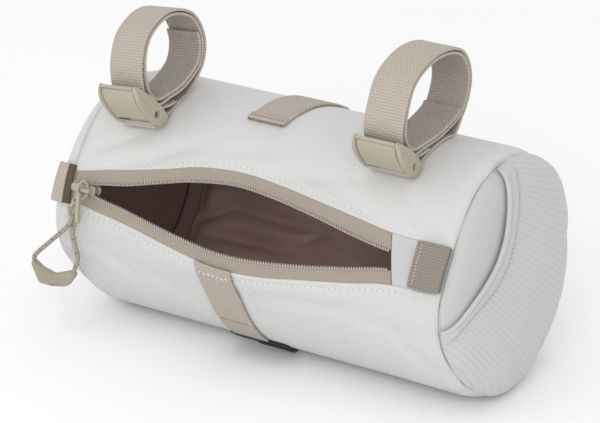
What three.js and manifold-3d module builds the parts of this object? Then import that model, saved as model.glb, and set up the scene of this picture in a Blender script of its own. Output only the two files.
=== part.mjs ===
// Handlebar bag: a soft cloth tube with an open zipped mouth, two webbing straps with cam buckles,
// a stretch pocket on its right end and a cord on its zip pull.
// Millimetres. X runs along the bag, -Y is the zipped front, and Z = 0 is the surface it rests on.
// A bearing is an angle round the tube in degrees, from its top towards its front.
import * as THREE from 'three';
import { mergeVertices } from 'three/addons/utils/BufferGeometryUtils.js';
import Module from 'manifold-3d';

const wasm = await Module();
wasm.setup();

// Driving sizes
const GAP = 0.3;
const SEAM_GAP = 0.6;
const CLOTH = 1.6;
const TUBE = { radius: 58, axisHeight: 56, seam: 102, shoulder: 7, shoulderDrop: 2.2, rearSeam: 205 };
const SAG_FROM_X = 55;
const GRID = { columns: 18, topRows: 19, frontRows: 14, liningRows: 18, zipColumns: 20, crowding: 0.3 };
const WEBBING = { width: 20, thickness: 1.4 };
const TAPE = { depth: 0.5, thickness: 1 };
const TEETH = { width: 1.6, proud: 0.2, depth: 2 };
const ZIP_END = { x: 74.3, slant: 6 };
const LINING = { gap: 0.9, thickness: 1.0, overlap: 2, inset: 0.6, rightInset: 3.4, bindingWidth: 6 };
const CAP = { radius: 54.2, fullness: 2.4, segments: 26, steps: 5, leftBulge: 11, rightBulge: 6.5 };
const POCKET = { thickness: 1.2, bulge: 14.5, bearing: 53, hemWidth: 9, hemExtra: 0.5 };
const LOOP = { x: -12, skew: 5, fromBearing: 18, toBearing: -34, rise: 1.5 };
const STRIP = { x: -13, toBearing: 146.4 };
const PATCH = { fromX: -23, toX: 8.5, fromBearing: 147, toBearing: 153.5, thickness: 1.6 };
const RIGHT_TAB = { fromX: 87, fromBearing: 57.5, toBearing: 78 };
const LEFT_TAB = { reach: 7.2, fromBearing: 61.5, toBearing: 80.8 };
const TAB_LAYERS = 2;
const SLIDER = { x: -90.2, bearing: 71.4, topLow: 0.6, topHigh: 2.1, underLow: -4, underHigh: -2.8 };
const POST = { x: 2.4, size: 1.6 };
const BAIL = { reach: 3.4, foot: 1.2, sunk: 0.5, barLow: 5.0, barHigh: 6.6, corner: 0.6, width: 2.2 };
const PULL = { thickness: 1.8, out: 5.8, long: 4.9, wide: 3.2, wire: 1.5 };
const STEM = { foot: -15.5, out: 8, half: 1.1, tipHalf: 1.5 };
const CORD = { radius: 1.1, sides: 8, knotRadius: 2, stepDiameters: 2.5 };
const BUCKLE = { innerWidth: 20.8, wall: 2.6, hub: 2, hole: 1.6, leverGap: 0.4 };
const TRUNNION = { radius: 1.2, reach: 12.2 };
const LOWER_BAR = { along: -5.9, out: -2.4, half: 0.7 };

// The mouth: bearings of the cloth edges and of the zip tapes' inner edges, along the bag
const MOUTH = [
  { x: -102, upperCloth: 64.8, upperTape: 69.2, lowerTape: 73.7, lowerCloth: 78.0 },
  { x: -92, upperCloth: 62.8, upperTape: 69.0, lowerTape: 73.9, lowerCloth: 79.5 },
  { x: -84, upperCloth: 60.8, upperTape: 67.4, lowerTape: 75.4, lowerCloth: 80.9 },
  { x: -71, upperCloth: 58.1, upperTape: 65.1, lowerTape: 77.2, lowerCloth: 82.8 },
  { x: -53, upperCloth: 53.7, upperTape: 60.3, lowerTape: 80.2, lowerCloth: 85.4 },
  { x: -36, upperCloth: 49.0, upperTape: 56.0, lowerTape: 82.6, lowerCloth: 88.3 },
  { x: -13, upperCloth: 46.7, upperTape: 53.1, lowerTape: 84.7, lowerCloth: 91.3 },
  { x: 9, upperCloth: 48.2, upperTape: 54.7, lowerTape: 83.9, lowerCloth: 90.7 },
  { x: 31, upperCloth: 51.3, upperTape: 58.0, lowerTape: 81.1, lowerCloth: 87.4 },
  { x: 53, upperCloth: 54.5, upperTape: 61.9, lowerTape: 76.8, lowerCloth: 83.7 },
  { x: 73, upperCloth: 57.2, upperTape: 64.6, lowerTape: 72.9, lowerCloth: 79.9 },
  { x: 102, upperCloth: 57.6, upperTape: 64.6, lowerTape: 72.9, lowerCloth: 78.6 },
];

// Soft swells (+) and dents (-) of the cloth: height, place and spread along X and in bearing
const FOLDS = [
  { height: 5.4, x: -12, bearing: 90, alongX: 48, alongBearing: 12 },
  { height: -1.6, x: -52, bearing: 42, alongX: 15, alongBearing: 10 },
  { height: -1.2, x: 30, bearing: 38, alongX: 18, alongBearing: 10 },
  { height: -1.3, x: -74, bearing: 98, alongX: 14, alongBearing: 16 },
  { height: 1.6, x: 86, bearing: 122, alongX: 18, alongBearing: 22 },
];

// How far the right seam strays along X, by bearing
const RIGHT_SEAM = [
  { bearing: -155, stray: 1 },
  { bearing: -80, stray: -0.6 },
  { bearing: 20, stray: -1.6 },
  { bearing: 58, stray: -0.4 },
  { bearing: 96, stray: -2.8 },
  { bearing: 124, stray: 1.2 },
  { bearing: 146, stray: 5 },
  { bearing: 172, stray: 4 },
  { bearing: 205, stray: 1 },
];

// The pocket's mouth on the round end: across it, and its distance from the end's middle
const HEM = [
  { across: -50, reach: 45 },
  { across: -30, reach: 43.2 },
  { across: -14, reach: 41 },
  { across: 0, reach: 38.8 },
  { across: 12, reach: 38.3 },
  { across: 26, reach: 39.4 },
  { across: 50, reach: 43 },
];

// Each strap's loop in side view from its buckle's pin, and the room between its turns there
const LEFT_LOOP = [
  { back: 38.6, up: 12.2, room: 1.9 },
  { back: 43.2, up: 24.5, room: 1.9 },
  { back: 37.6, up: 38.2, room: 1.9 },
  { back: 21.0, up: 43.8, room: 1.9 },
  { back: 4.6, up: 37.0, room: 1.9 },
  { back: -2.0, up: 26.0, room: 2.4 },
  { back: -3.6, up: 16.0, room: 3.2 },
  { back: -2.4, up: 8.4, room: 3.4 },
  { back: 1.4, up: 3.9, room: 3.4 },
  { back: 5.8, up: 2.7, room: 2.6 },
  { back: 13.0, up: 3.8, room: 1.9 },
  { back: 26.0, up: 5.4, room: 1.9 },
];
const RIGHT_LOOP = [
  { back: 49.6, up: 7.6, room: 1.9 },
  { back: 56.5, up: 23.0, room: 1.9 },
  { back: 49.0, up: 37.6, room: 1.9 },
  { back: 25.0, up: 43.2, room: 1.9 },
  { back: 4.4, up: 37.0, room: 1.9 },
  { back: -3.4, up: 26.2, room: 2.4 },
  { back: -6.0, up: 15.4, room: 3.2 },
  { back: -3.3, up: 8.1, room: 3.4 },
  { back: 1.4, up: 3.9, room: 3.4 },
  { back: 5.8, up: 2.9, room: 2.6 },
  { back: 14.0, up: 3.4, room: 1.9 },
  { back: 33.0, up: 3.2, room: 1.9 },
];

// Where each strap sits: its buckle's pin on the bag, the buckle's tilt towards the front, its sideways
// lean and yaw, how far up the bag it is sewn, and how many turns it makes
const STRAPS = {
  left: {
    x: -72.9,
    pinBearing: 34.8,
    pinRadius: 68.4,
    tilt: 41,
    lean: 8,
    yaw: -6,
    sewnTo: 11,
    turns: 2.2,
    loop: LEFT_LOOP,
  },
  right: {
    x: 60.5,
    pinBearing: 29.3,
    pinRadius: 66.4,
    tilt: 47,
    lean: 0,
    yaw: 0,
    sewnTo: -10,
    turns: 2.06,
    loop: RIGHT_LOOP,
  },
};

// A strap's fold round its buckle's lower bar: bearing past the bar, rise from the bar or from the sewn
// layer, and share of the sideways lean
const FOLD_ROWS = [
  { past: -13, from: 'sewn', rise: 1.9, lean: 0 },
  { past: -9, from: 'sewn', rise: 2.5, lean: 0.3 },
  { past: -2.2, from: 'bar', rise: 2.3, lean: 1 },
  { past: 0.5, from: 'bar', rise: 2.2, lean: 1 },
  { past: 2.4, from: 'bar', rise: 0, lean: 1 },
  { past: 0.4, from: 'bar', rise: -2.2, lean: 1 },
  { past: -3, from: 'bar', rise: -2.3, lean: 0.8 },
  { past: -7, from: 'sewn', rise: 0.1, lean: 0.1 },
];
const SEWN = { past: -10, points: 7, rise: 0.1 };
const ROUTE = { stepsPerTurn: 42, leadSteps: 36, joinReach: 3.5, crossFrom: 0.78, crossTo: 0.98 };

// Outlines in a buckle's side view: along it to its top, and out of its front
const WALL_OUTLINE = [
  { along: -7.8, out: -1.8 },
  { along: -7.4, out: -4.1 },
  { along: -1, out: -5.3 },
  { along: 7.6, out: -5.4 },
  { along: 12.4, out: -4.3 },
  { along: 19.4, out: -4.1 },
  { along: 20.2, out: -3.2 },
  { along: 18.9, out: -0.6 },
  { along: 16.5, out: 1.3 },
  { along: 13.6, out: 2.9 },
  { along: 9, out: 4.1 },
  { along: 3, out: 4.7 },
  { along: -2, out: 4.5 },
  { along: -6.4, out: 3 },
];
const TOP_BAR = [
  { along: 17.9, out: -3.6 },
  { along: 19.4, out: -4 },
  { along: 20.1, out: -3.2 },
  { along: 18.9, out: -0.7 },
  { along: 17.9, out: 0.1 },
];
const FRONT_BAR = [
  { along: -2.1, out: 3.5 },
  { along: -3.95, out: 1.1 },
  { along: -4.7, out: 1.6 },
  { along: -3, out: 3.9 },
];
const BACK_BAR = [
  { along: 4.4, out: -5.8 },
  { along: 7.2, out: -5.7 },
  { along: 7.2, out: -4.85 },
  { along: 4.4, out: -4.95 },
];
const LEVER_PLATE = [
  { along: -1.6, out: 3.2 },
  { along: 1, out: 4.2 },
  { along: 4, out: 4 },
  { along: 9, out: 3.3 },
  { along: 13.6, out: 2.1 },
  { along: 16.4, out: 0.5 },
  { along: 17.4, out: -0.7 },
  { along: 17.2, out: -1.9 },
  { along: 13, out: 0.5 },
  { along: 6, out: 1.9 },
  { along: 2.2, out: 1 },
  { along: -1.5, out: 1 },
];

// The slider's plates: half their width along them
const PLATE_ROWS = [
  { x: -7.6, half: 2.2 },
  { x: -6.6, half: 2.6 },
  { x: -1, half: 3.2 },
  { x: 2.8, half: 4.4 },
  { x: 3.6, half: 3.6 },
];

// The cord's two strands, from the knot to the clip
const CORD_LEFT = [
  { x: -93.4, y: -64.4, z: 64.2 },
  { x: -95.6, y: -64.2, z: 59.6 },
  { x: -103.0, y: -63.6, z: 52.6 },
  { x: -110.2, y: -63, z: 45.2 },
  { x: -116.0, y: -63, z: 38.6 },
  { x: -118.4, y: -63, z: 35.0 },
];
const CORD_RIGHT = [
  { x: -92.5, y: -61.8, z: 64.2 },
  { x: -94.4, y: -62.2, z: 59.6 },
  { x: -95.2, y: -62.6, z: 54.6 },
  { x: -94.0, y: -63, z: 48.0 },
  { x: -92.6, y: -63, z: 41.6 },
  { x: -94.5, y: -63, z: 35.9 },
];
const KNOT = { x: -93.4, y: -63, z: 67.2 };
const CLIP = { y: -63, thickness: 3.6, bevel: 0.4 };
const CLIP_OUTLINE = [
  { x: -119.8, z: 33.0 },
  { x: -116.0, z: 23.9 },
  { x: -109.0, z: 23.4 },
  { x: -100.0, z: 25.8 },
  { x: -93.6, z: 32.6 },
  { x: -95.6, z: 34.6 },
  { x: -106.2, z: 30.4 },
  { x: -117.6, z: 33.8 },
];

// Colours
const CANVAS = { color: 0xe4e3df, roughness: 0.9, metalness: 0 };
const STRETCH = { color: 0xdcdcd8, roughness: 0.85, metalness: 0 };
const BEIGE = { color: 0xb5a593, roughness: 0.9, metalness: 0 };
const TEETH_COLOUR = { color: 0xb8a9a2, roughness: 0.6, metalness: 0 };
const TAN = { color: 0xb0a68a, roughness: 0.55, metalness: 0 };
const MAUVE = { color: 0x6f5650, roughness: 0.85, metalness: 0 };
const DARK = { color: 0x2b2b2d, roughness: 0.7, metalness: 0 };

const bag = new THREE.Group();

function addPiece(parent, name, geometry, look) {
  const mesh = new THREE.Mesh(geometry, new THREE.MeshStandardMaterial(look));
  mesh.name = name;
  parent.add(mesh);
  return mesh;
}

// Shape helpers

function degrees(value) {
  return THREE.MathUtils.degToRad(value);
}

// Smooth value of a table's column, for rows that run along its key column
function tableValue(rows, key, column, at) {
  const found = rows.findIndex((row) => row[key] >= at);
  const high = found < 0 ? rows.length - 1 : Math.max(found, 1);
  const low = high - 1;
  const slope = (i) => {
    const before = rows[Math.max(i - 1, 0)];
    const after = rows[Math.min(i + 1, rows.length - 1)];
    return (after[column] - before[column]) / (after[key] - before[key]);
  };
  const span = rows[high][key] - rows[low][key];
  const t = THREE.MathUtils.clamp((at - rows[low][key]) / span, 0, 1);
  const rise = t * t * (3 - 2 * t);
  const lead = t * (1 - t) * (1 - t) * span * slope(low);
  const trail = t * t * (t - 1) * span * slope(high);
  return THREE.MathUtils.lerp(rows[low][column], rows[high][column], rise) + lead + trail;
}

function mouth(column) {
  return (x) => tableValue(MOUTH, 'x', column, x);
}

// A geometry with positions alone, shared corners merged and no flat triangles
function bare(geometry) {
  const copy = geometry.clone();
  copy.deleteAttribute('normal');
  copy.deleteAttribute('uv');
  const merged = mergeVertices(copy, 1e-3);
  const corners = merged.index.array;
  const kept = [];
  for (let i = 0; i < corners.length; i += 3) {
    const [a, b, c] = [corners[i], corners[i + 1], corners[i + 2]];
    if (a !== b && b !== c && c !== a) kept.push(a, b, c);
  }
  merged.setIndex(kept);
  return merged;
}

// The same geometry with its faces pointing out
function facingOut(geometry) {
  const place = geometry.attributes.position;
  const corners = Array.from(geometry.index.array);
  const at = (i) => new THREE.Vector3().fromBufferAttribute(place, i);
  let volume = 0;
  for (let i = 0; i < corners.length; i += 3) {
    volume += at(corners[i]).dot(at(corners[i + 1]).cross(at(corners[i + 2])));
  }
  if (volume < 0) corners.reverse();
  geometry.setIndex(corners);
  return geometry;
}

function solidOf(geometry) {
  const shape = facingOut(bare(geometry));
  const vertProperties = Float32Array.from(shape.attributes.position.array);
  const triVerts = Uint32Array.from(shape.index.array);
  return new wasm.Manifold(new wasm.Mesh({ numProp: 3, vertProperties, triVerts }));
}

function geometryOf(solid) {
  const mesh = solid.getMesh();
  const geometry = new THREE.BufferGeometry();
  geometry.setAttribute('position', new THREE.BufferAttribute(Float32Array.from(mesh.vertProperties), 3));
  geometry.setIndex(Array.from(mesh.triVerts));
  return geometry;
}

function joined(geometries) {
  const solids = geometries.map(solidOf);
  return geometryOf(solids.reduce((whole, solid) => whole.add(solid)));
}

// Closed wall between two surfaces, each a function of two numbers from 0 to 1
function wallBetween(outer, inner, columns, rows) {
  const stride = rows + 1;
  const sheet = (columns + 1) * stride;
  const positions = [];
  const corners = [];
  const quad = (a, b, c, d) => corners.push(a, b, c, a, c, d);
  for (const surface of [outer, inner]) {
    for (let i = 0; i <= columns; i += 1) {
      for (let j = 0; j <= rows; j += 1) positions.push(...surface(i / columns, j / rows).toArray());
    }
  }
  for (let i = 0; i < columns; i += 1) {
    const start = i * stride;
    const end = start + rows;
    for (let j = 0; j < rows; j += 1) {
      const a = start + j;
      const b = a + stride;
      quad(a, b, b + 1, a + 1);
      quad(sheet + a, sheet + a + 1, sheet + b + 1, sheet + b);
    }
    quad(start, sheet + start, sheet + start + stride, start + stride);
    quad(end + stride, sheet + end + stride, sheet + end, end);
  }
  for (let j = 0; j < rows; j += 1) {
    const last = columns * stride + j;
    quad(j + 1, sheet + j + 1, sheet + j, j);
    quad(last, sheet + last, sheet + last + 1, last + 1);
  }
  const geometry = new THREE.BufferGeometry();
  geometry.setAttribute('position', new THREE.Float32BufferAttribute(positions, 3));
  geometry.setIndex(corners);
  return facingOut(geometry);
}

// The bag's surface

function onTube(x, bearing, radius) {
  const turn = degrees(bearing);
  return new THREE.Vector3(x, -radius * Math.sin(turn), TUBE.axisHeight + radius * Math.cos(turn));
}

// Outer radius of the cloth: round, softened at the seams, swollen and dented, and flat where it rests
function tubeRadius(x, bearing) {
  const past = Math.max(Math.abs(x) - (TUBE.seam - TUBE.shoulder), 0) / TUBE.shoulder;
  let radius = TUBE.radius - TUBE.shoulderDrop * past * past;
  for (const fold of FOLDS) {
    const along = (x - fold.x) / fold.alongX;
    const across = (bearing - fold.bearing) / fold.alongBearing;
    radius += fold.height * Math.exp(-along * along - across * across);
  }
  const down = -Math.cos(degrees(bearing));
  return down > 0 ? Math.min(radius, TUBE.axisHeight / down) : radius;
}

// The right seam strays along X, and the cloth near it follows
function seamStray(bearing) {
  const first = RIGHT_SEAM[0].bearing;
  const turned = THREE.MathUtils.euclideanModulo(bearing - first, 360) + first;
  return tableValue(RIGHT_SEAM, 'bearing', 'stray', turned);
}

function onBag(x, bearing, depth) {
  const shift = seamStray(bearing) * THREE.MathUtils.smoothstep(x, SAG_FROM_X, TUBE.seam);
  return onTube(x + shift, bearing, tubeRadius(x, bearing) - depth);
}

// A sheet that follows the bag: its ends along X, its bearings there, and its depths below the cloth.
// Its columns may crowd towards the ends, where the cloth rolls over to the seams, and its ends may slant.
function bagSheet({ ends, bearings, depths, columns, rows, crowding = 0, slants = [0, 0] }) {
  const surface = (depth) => (u, v) => {
    const side = 2 * u - 1;
    const crowded = side * (1 + crowding * (1 - side * side));
    const [start, end] = ends.map((x, i) => x + slants[i] * (v - 0.5));
    const x = THREE.MathUtils.lerp(start, end, (crowded + 1) / 2);
    const bearing = THREE.MathUtils.lerp(bearings[0](x), bearings[1](x), v);
    return onBag(x, bearing, depth);
  };
  return wallBetween(surface(depths[0]), surface(depths[1]), columns, rows);
}

function constant(value) {
  return () => value;
}

function shifted(column, offset) {
  return (x) => mouth(column)(x) + offset;
}

// Angle that a length takes up on the cloth
function spread(length) {
  return THREE.MathUtils.radToDeg(length / TUBE.radius);
}

// Cloth panels

const halfGap = spread(GAP / 2);
const tapeGap = spread(GAP);
const fullEnds = [-TUBE.seam, TUBE.seam];
addPiece(bag, 'top_panel', bagSheet({
  ends: fullEnds,
  bearings: [shifted('upperCloth', -halfGap), constant(TUBE.rearSeam - 360 + halfGap)],
  depths: [0, CLOTH],
  columns: GRID.columns,
  rows: GRID.topRows,
  crowding: GRID.crowding,
}), CANVAS);
addPiece(bag, 'front_panel', bagSheet({
  ends: fullEnds,
  bearings: [shifted('lowerCloth', halfGap), constant(TUBE.rearSeam - halfGap)],
  depths: [0, CLOTH],
  columns: GRID.columns,
  rows: GRID.frontRows,
  crowding: GRID.crowding,
}), CANVAS);
addPiece(bag, 'zip_end_panel', bagSheet({
  ends: [ZIP_END.x, TUBE.seam],
  bearings: [shifted('upperCloth', halfGap), shifted('lowerCloth', -halfGap)],
  depths: [0.2, CLOTH],
  columns: 6,
  rows: 4,
  slants: [ZIP_END.slant, 0],
}), CANVAS);

// Zip tapes, and a rail of teeth along each tape's inner edge

const tapeDepths = [TAPE.depth, TAPE.depth + TAPE.thickness];
const teethDepths = [-TEETH.proud, TEETH.depth];
const teethNear = spread(GAP);
const teethFar = spread(GAP + TEETH.width);
const ZIP_ROWS = [
  {
    name: 'zip_tape_upper',
    from: ['upperCloth', tapeGap],
    to: ['upperTape', 0],
    endX: 72,
    depths: tapeDepths,
    look: BEIGE,
  },
  {
    name: 'zip_tape_lower',
    from: ['lowerTape', 0],
    to: ['lowerCloth', -tapeGap],
    endX: 76.1,
    depths: tapeDepths,
    look: BEIGE,
  },
  {
    name: 'zip_teeth_upper',
    from: ['upperTape', teethNear],
    to: ['upperTape', teethFar],
    endX: 73,
    depths: teethDepths,
    look: TEETH_COLOUR,
  },
  {
    name: 'zip_teeth_lower',
    from: ['lowerTape', -teethFar],
    to: ['lowerTape', -teethNear],
    endX: 74.6,
    depths: teethDepths,
    look: TEETH_COLOUR,
  },
];
const endTurn = mouth('lowerCloth')(ZIP_END.x) - mouth('upperCloth')(ZIP_END.x);
for (const row of ZIP_ROWS) {
  const from = shifted(...row.from);
  const to = shifted(...row.to);
  addPiece(bag, row.name, bagSheet({
    ends: [-TUBE.seam, row.endX],
    bearings: [from, to],
    depths: row.depths,
    columns: GRID.zipColumns,
    rows: 1,
    crowding: GRID.crowding,
    slants: [0, ZIP_END.slant * (to(row.endX) - from(row.endX)) / endTurn],
  }), row.look);
}

// Round ends: domes turned about the bag's axis

function domeProfile(radius, bulge, fromRim) {
  const points = [];
  for (let i = 0; i <= CAP.steps; i += 1) {
    const turn = ((fromRim ? CAP.steps - i : i) / CAP.steps) * (Math.PI / 2);
    const out = i === (fromRim ? CAP.steps : 0) ? 0 : radius * Math.sin(turn) ** (2 / CAP.fullness);
    const high = i === (fromRim ? 0 : CAP.steps) ? 0 : bulge * Math.cos(turn) ** (2 / CAP.fullness);
    points.push(new THREE.Vector2(out, high));
  }
  return points;
}

// A dome-shaped shell on the seam at one side (-1 left, 1 right), sagging with the bag
function domeShell(side, radius, bulge, thickness) {
  const profile = [
    ...domeProfile(radius, bulge, false),
    ...domeProfile(radius - thickness, bulge - thickness, true),
  ];
  const geometry = bare(new THREE.LatheGeometry(profile, CAP.segments));
  const place = geometry.attributes.position;
  for (let i = 0; i < place.count; i += 1) {
    const out = Math.hypot(place.getX(i), place.getZ(i));
    const bearing = THREE.MathUtils.radToDeg(Math.atan2(place.getX(i), place.getZ(i)));
    const sag = side > 0 ? seamStray(bearing) * Math.min(out / radius, 1) : 0;
    const x = side * (TUBE.seam + SEAM_GAP + place.getY(i)) + sag;
    place.setXYZ(i, ...onTube(x, bearing, out).toArray());
  }
  return facingOut(geometry);
}

addPiece(bag, 'end_cap_left', domeShell(-1, CAP.radius, CAP.leftBulge, CLOTH), CANVAS);
addPiece(bag, 'end_cap_right', domeShell(1, CAP.radius, CAP.rightBulge, CLOTH), CANVAS);

// Shapes drawn in Y and Z, extruded along X
const SIDE_VIEW = new THREE.Matrix4().makeBasis(
  new THREE.Vector3(0, 1, 0),
  new THREE.Vector3(0, 0, 1),
  new THREE.Vector3(1, 0, 0),
);

// Everything on the open side of the pocket's mouth, moved into the pocket by an inset
function mouthPrism(inset) {
  const towards = new THREE.Vector2(-Math.sin(degrees(POCKET.bearing)), Math.cos(degrees(POCKET.bearing)));
  const sideways = new THREE.Vector2(towards.y, -towards.x);
  const point = (across, reach) => {
    const flat = towards.clone().multiplyScalar(reach).addScaledVector(sideways, across);
    return new THREE.Vector2(flat.x, flat.y + TUBE.axisHeight);
  };
  const edge = new THREE.SplineCurve(HEM.map((row) => point(row.across, row.reach - inset))).getPoints(24);
  const first = HEM[0];
  const last = HEM[HEM.length - 1];
  const beyond = 2 * TUBE.radius;
  const shape = new THREE.Shape([...edge, point(last.across, beyond), point(first.across, beyond)]);
  const block = new THREE.ExtrudeGeometry(shape, { depth: TUBE.radius, bevelEnabled: false });
  block.applyMatrix4(SIDE_VIEW);
  block.translate(TUBE.seam - CAP.rightBulge, 0, 0);
  return solidOf(block);
}

const pocketRadius = CAP.radius + GAP + POCKET.thickness;
const pocketShell = solidOf(domeShell(1, pocketRadius, POCKET.bulge + POCKET.thickness, POCKET.thickness));
addPiece(bag, 'end_pocket', geometryOf(pocketShell.subtract(mouthPrism(POCKET.hemWidth + GAP))), STRETCH);
const hemShell = solidOf(domeShell(
  1,
  pocketRadius + POCKET.hemExtra,
  POCKET.bulge + POCKET.thickness + POCKET.hemExtra,
  POCKET.thickness + POCKET.hemExtra,
));
const hemBand = mouthPrism(POCKET.hemWidth).subtract(mouthPrism(0));
addPiece(bag, 'pocket_hem', geometryOf(hemShell.intersect(hemBand)), CANVAS);

// Lining

const liningDepth = CLOTH + LINING.gap;
const liningEnd = TUBE.seam - LINING.inset;
addPiece(bag, 'lining_wall', bagSheet({
  ends: [-liningEnd, liningEnd],
  bearings: [shifted('upperCloth', -LINING.overlap), (x) => mouth('lowerCloth')(x) + LINING.overlap - 360],
  depths: [liningDepth, liningDepth + LINING.thickness],
  columns: GRID.columns,
  rows: GRID.liningRows,
  crowding: GRID.crowding,
}), MAUVE);

// A flat ring or disc about the bag's axis
function axisRing(innerRadius, outerRadius, fromX, toX) {
  const outline = new THREE.Shape().absarc(0, TUBE.axisHeight, outerRadius, 0, 2 * Math.PI);
  const hole = new THREE.Path().absarc(0, TUBE.axisHeight, innerRadius, 0, 2 * Math.PI);
  if (innerRadius > 0) outline.holes.push(hole);
  const options = { depth: toX - fromX, bevelEnabled: false, curveSegments: CAP.segments / 2 };
  const ring = new THREE.ExtrudeGeometry(outline, options);
  ring.applyMatrix4(SIDE_VIEW);
  ring.translate(fromX, 0, 0);
  return ring;
}

const liningRadius = TUBE.radius - TUBE.shoulderDrop - liningDepth - LINING.thickness - LINING.gap;
const leftDiscX = LINING.thickness - liningEnd;
const rightDiscX = TUBE.seam - LINING.rightInset;
addPiece(bag, 'lining_end_left', axisRing(0, liningRadius, -liningEnd, leftDiscX), MAUVE);
const rightDisc = axisRing(0, liningRadius, rightDiscX - LINING.thickness, rightDiscX);
addPiece(bag, 'lining_end_right', rightDisc, MAUVE);
const bindingX = leftDiscX + GAP;
const bindingInner = liningRadius - LINING.thickness;
const binding = axisRing(bindingInner, liningRadius, bindingX, bindingX + LINING.bindingWidth);
addPiece(bag, 'lining_binding', binding, MAUVE);

// Webbing that lies on the cloth

const webbingDepths = (layers) => [-GAP - layers * WEBBING.thickness, -GAP];
const halfWebbing = WEBBING.width / 2;
addPiece(bag, 'front_strip', bagSheet({
  ends: [STRIP.x - halfWebbing, STRIP.x + halfWebbing],
  bearings: [mouth('lowerCloth'), constant(STRIP.toBearing)],
  depths: webbingDepths(1),
  columns: 4,
  rows: 14,
}), BEIGE);
addPiece(bag, 'lower_patch', bagSheet({
  ends: [PATCH.fromX, PATCH.toX],
  bearings: [constant(PATCH.fromBearing), constant(PATCH.toBearing)],
  depths: [-GAP - PATCH.thickness, -GAP],
  columns: 6,
  rows: 2,
}), DARK);
addPiece(bag, 'tab_right', bagSheet({
  ends: [RIGHT_TAB.fromX, TUBE.seam],
  bearings: [constant(RIGHT_TAB.fromBearing), constant(RIGHT_TAB.toBearing)],
  depths: webbingDepths(TAB_LAYERS),
  columns: 4,
  rows: 6,
}), BEIGE);

// The left tab is caught in the seam and stands out from the bag's end
const tabThickness = TAB_LAYERS * WEBBING.thickness;
const tabTop = TUBE.radius - TUBE.shoulderDrop + tabThickness / 2;
const tabSurface = (radius) => (u, v) => onTube(
  -TUBE.seam - GAP - LEFT_TAB.reach * u,
  THREE.MathUtils.lerp(LEFT_TAB.fromBearing, LEFT_TAB.toBearing, v),
  radius,
);
addPiece(bag, 'tab_left', wallBetween(tabSurface(tabTop), tabSurface(tabTop - tabThickness), 2, 6), BEIGE);

// A flat webbing loop lies across the top, slightly raised between its sewn ends
const loopSurface = (height) => (u, v) => {
  const rise = LOOP.rise * Math.sin(Math.PI * v) ** 2;
  const x = LOOP.x + LOOP.skew * (v - 0.5) + WEBBING.width * (u - 0.5);
  const bearing = THREE.MathUtils.lerp(LOOP.fromBearing, LOOP.toBearing, v);
  return onTube(x, bearing, TUBE.radius + GAP + rise + height);
};
addPiece(bag, 'top_loop', wallBetween(loopSurface(WEBBING.thickness), loopSurface(0), 2, 14), BEIGE);

// Straps with their cam buckles

function pinOf(strap) {
  return onTube(strap.x, strap.pinBearing, strap.pinRadius);
}

// Directions along a buckle to its top and out of its front, before it leans and yaws
function buckleAxes(strap) {
  const tilt = degrees(strap.tilt);
  return {
    along: new THREE.Vector3(0, -Math.sin(tilt), Math.cos(tilt)),
    out: new THREE.Vector3(0, -Math.cos(tilt), -Math.sin(tilt)),
  };
}

// A share of a strap's lean and yaw, as a turn
function strapTurn(strap, share) {
  const yaw = new THREE.Matrix4().makeRotationZ(degrees(strap.yaw) * share);
  return yaw.multiply(new THREE.Matrix4().makeRotationY(-degrees(strap.lean) * share));
}

// Side-view route of a strap: each step holds its share of the sideways lean and its place in Y and Z.
// It starts as a fold round the buckle's lower bar, is sewn along the bag, and then winds into the loop.
function strapRoute(strap) {
  const pin = pinOf(strap);
  const sewn = TUBE.radius + GAP + WEBBING.thickness / 2;
  const { along, out } = buckleAxes(strap);
  const bar = pin.clone().addScaledVector(along, LOWER_BAR.along).addScaledVector(out, LOWER_BAR.out);
  const barHeight = bar.z - TUBE.axisHeight;
  const barBearing = THREE.MathUtils.radToDeg(Math.atan2(-bar.y, barHeight));
  const barRadius = Math.hypot(bar.y, barHeight);
  const leaning = halfWebbing * Math.sin(degrees(strap.lean));
  const leadPoints = FOLD_ROWS.map((row) => {
    const level = row.from === 'bar' ? barRadius : sewn + leaning * row.lean;
    return onTube(row.lean, barBearing + row.past, level + row.rise);
  });
  for (let i = 0; i < SEWN.points; i += 1) {
    const bearing = THREE.MathUtils.lerp(barBearing + SEWN.past, strap.sewnTo, i / (SEWN.points - 1));
    leadPoints.push(onTube(0, bearing, sewn + SEWN.rise));
  }
  const loopPoints = strap.loop.map((row) => new THREE.Vector3(row.room, pin.y + row.back, pin.z + row.up));
  const loop = new THREE.CatmullRomCurve3(loopPoints, true, 'centripetal');
  const steps = [];
  for (let i = 0; i <= ROUTE.stepsPerTurn * strap.turns; i += 1) {
    const turns = Math.floor(i / ROUTE.stepsPerTurn);
    const place = i / ROUTE.stepsPerTurn - turns;
    const point = loop.getPointAt(place);
    const heading = loop.getTangentAt(place);
    const layers = turns + THREE.MathUtils.smoothstep(place, ROUTE.crossFrom, ROUTE.crossTo);
    const inward = new THREE.Vector3(0, -heading.z, heading.y).normalize();
    steps.push(new THREE.Vector3(1, point.y, point.z).addScaledVector(inward, layers * point.x));
  }
  const lead = new THREE.CatmullRomCurve3([...leadPoints, steps[0], steps[2]], false, 'centripetal');
  const leadSteps = lead.getSpacedPoints(ROUTE.leadSteps);
  const joins = leadSteps.findIndex((step) => step.distanceTo(steps[0]) < ROUTE.joinReach);
  return [...leadSteps.slice(0, joins), ...steps];
}

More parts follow.
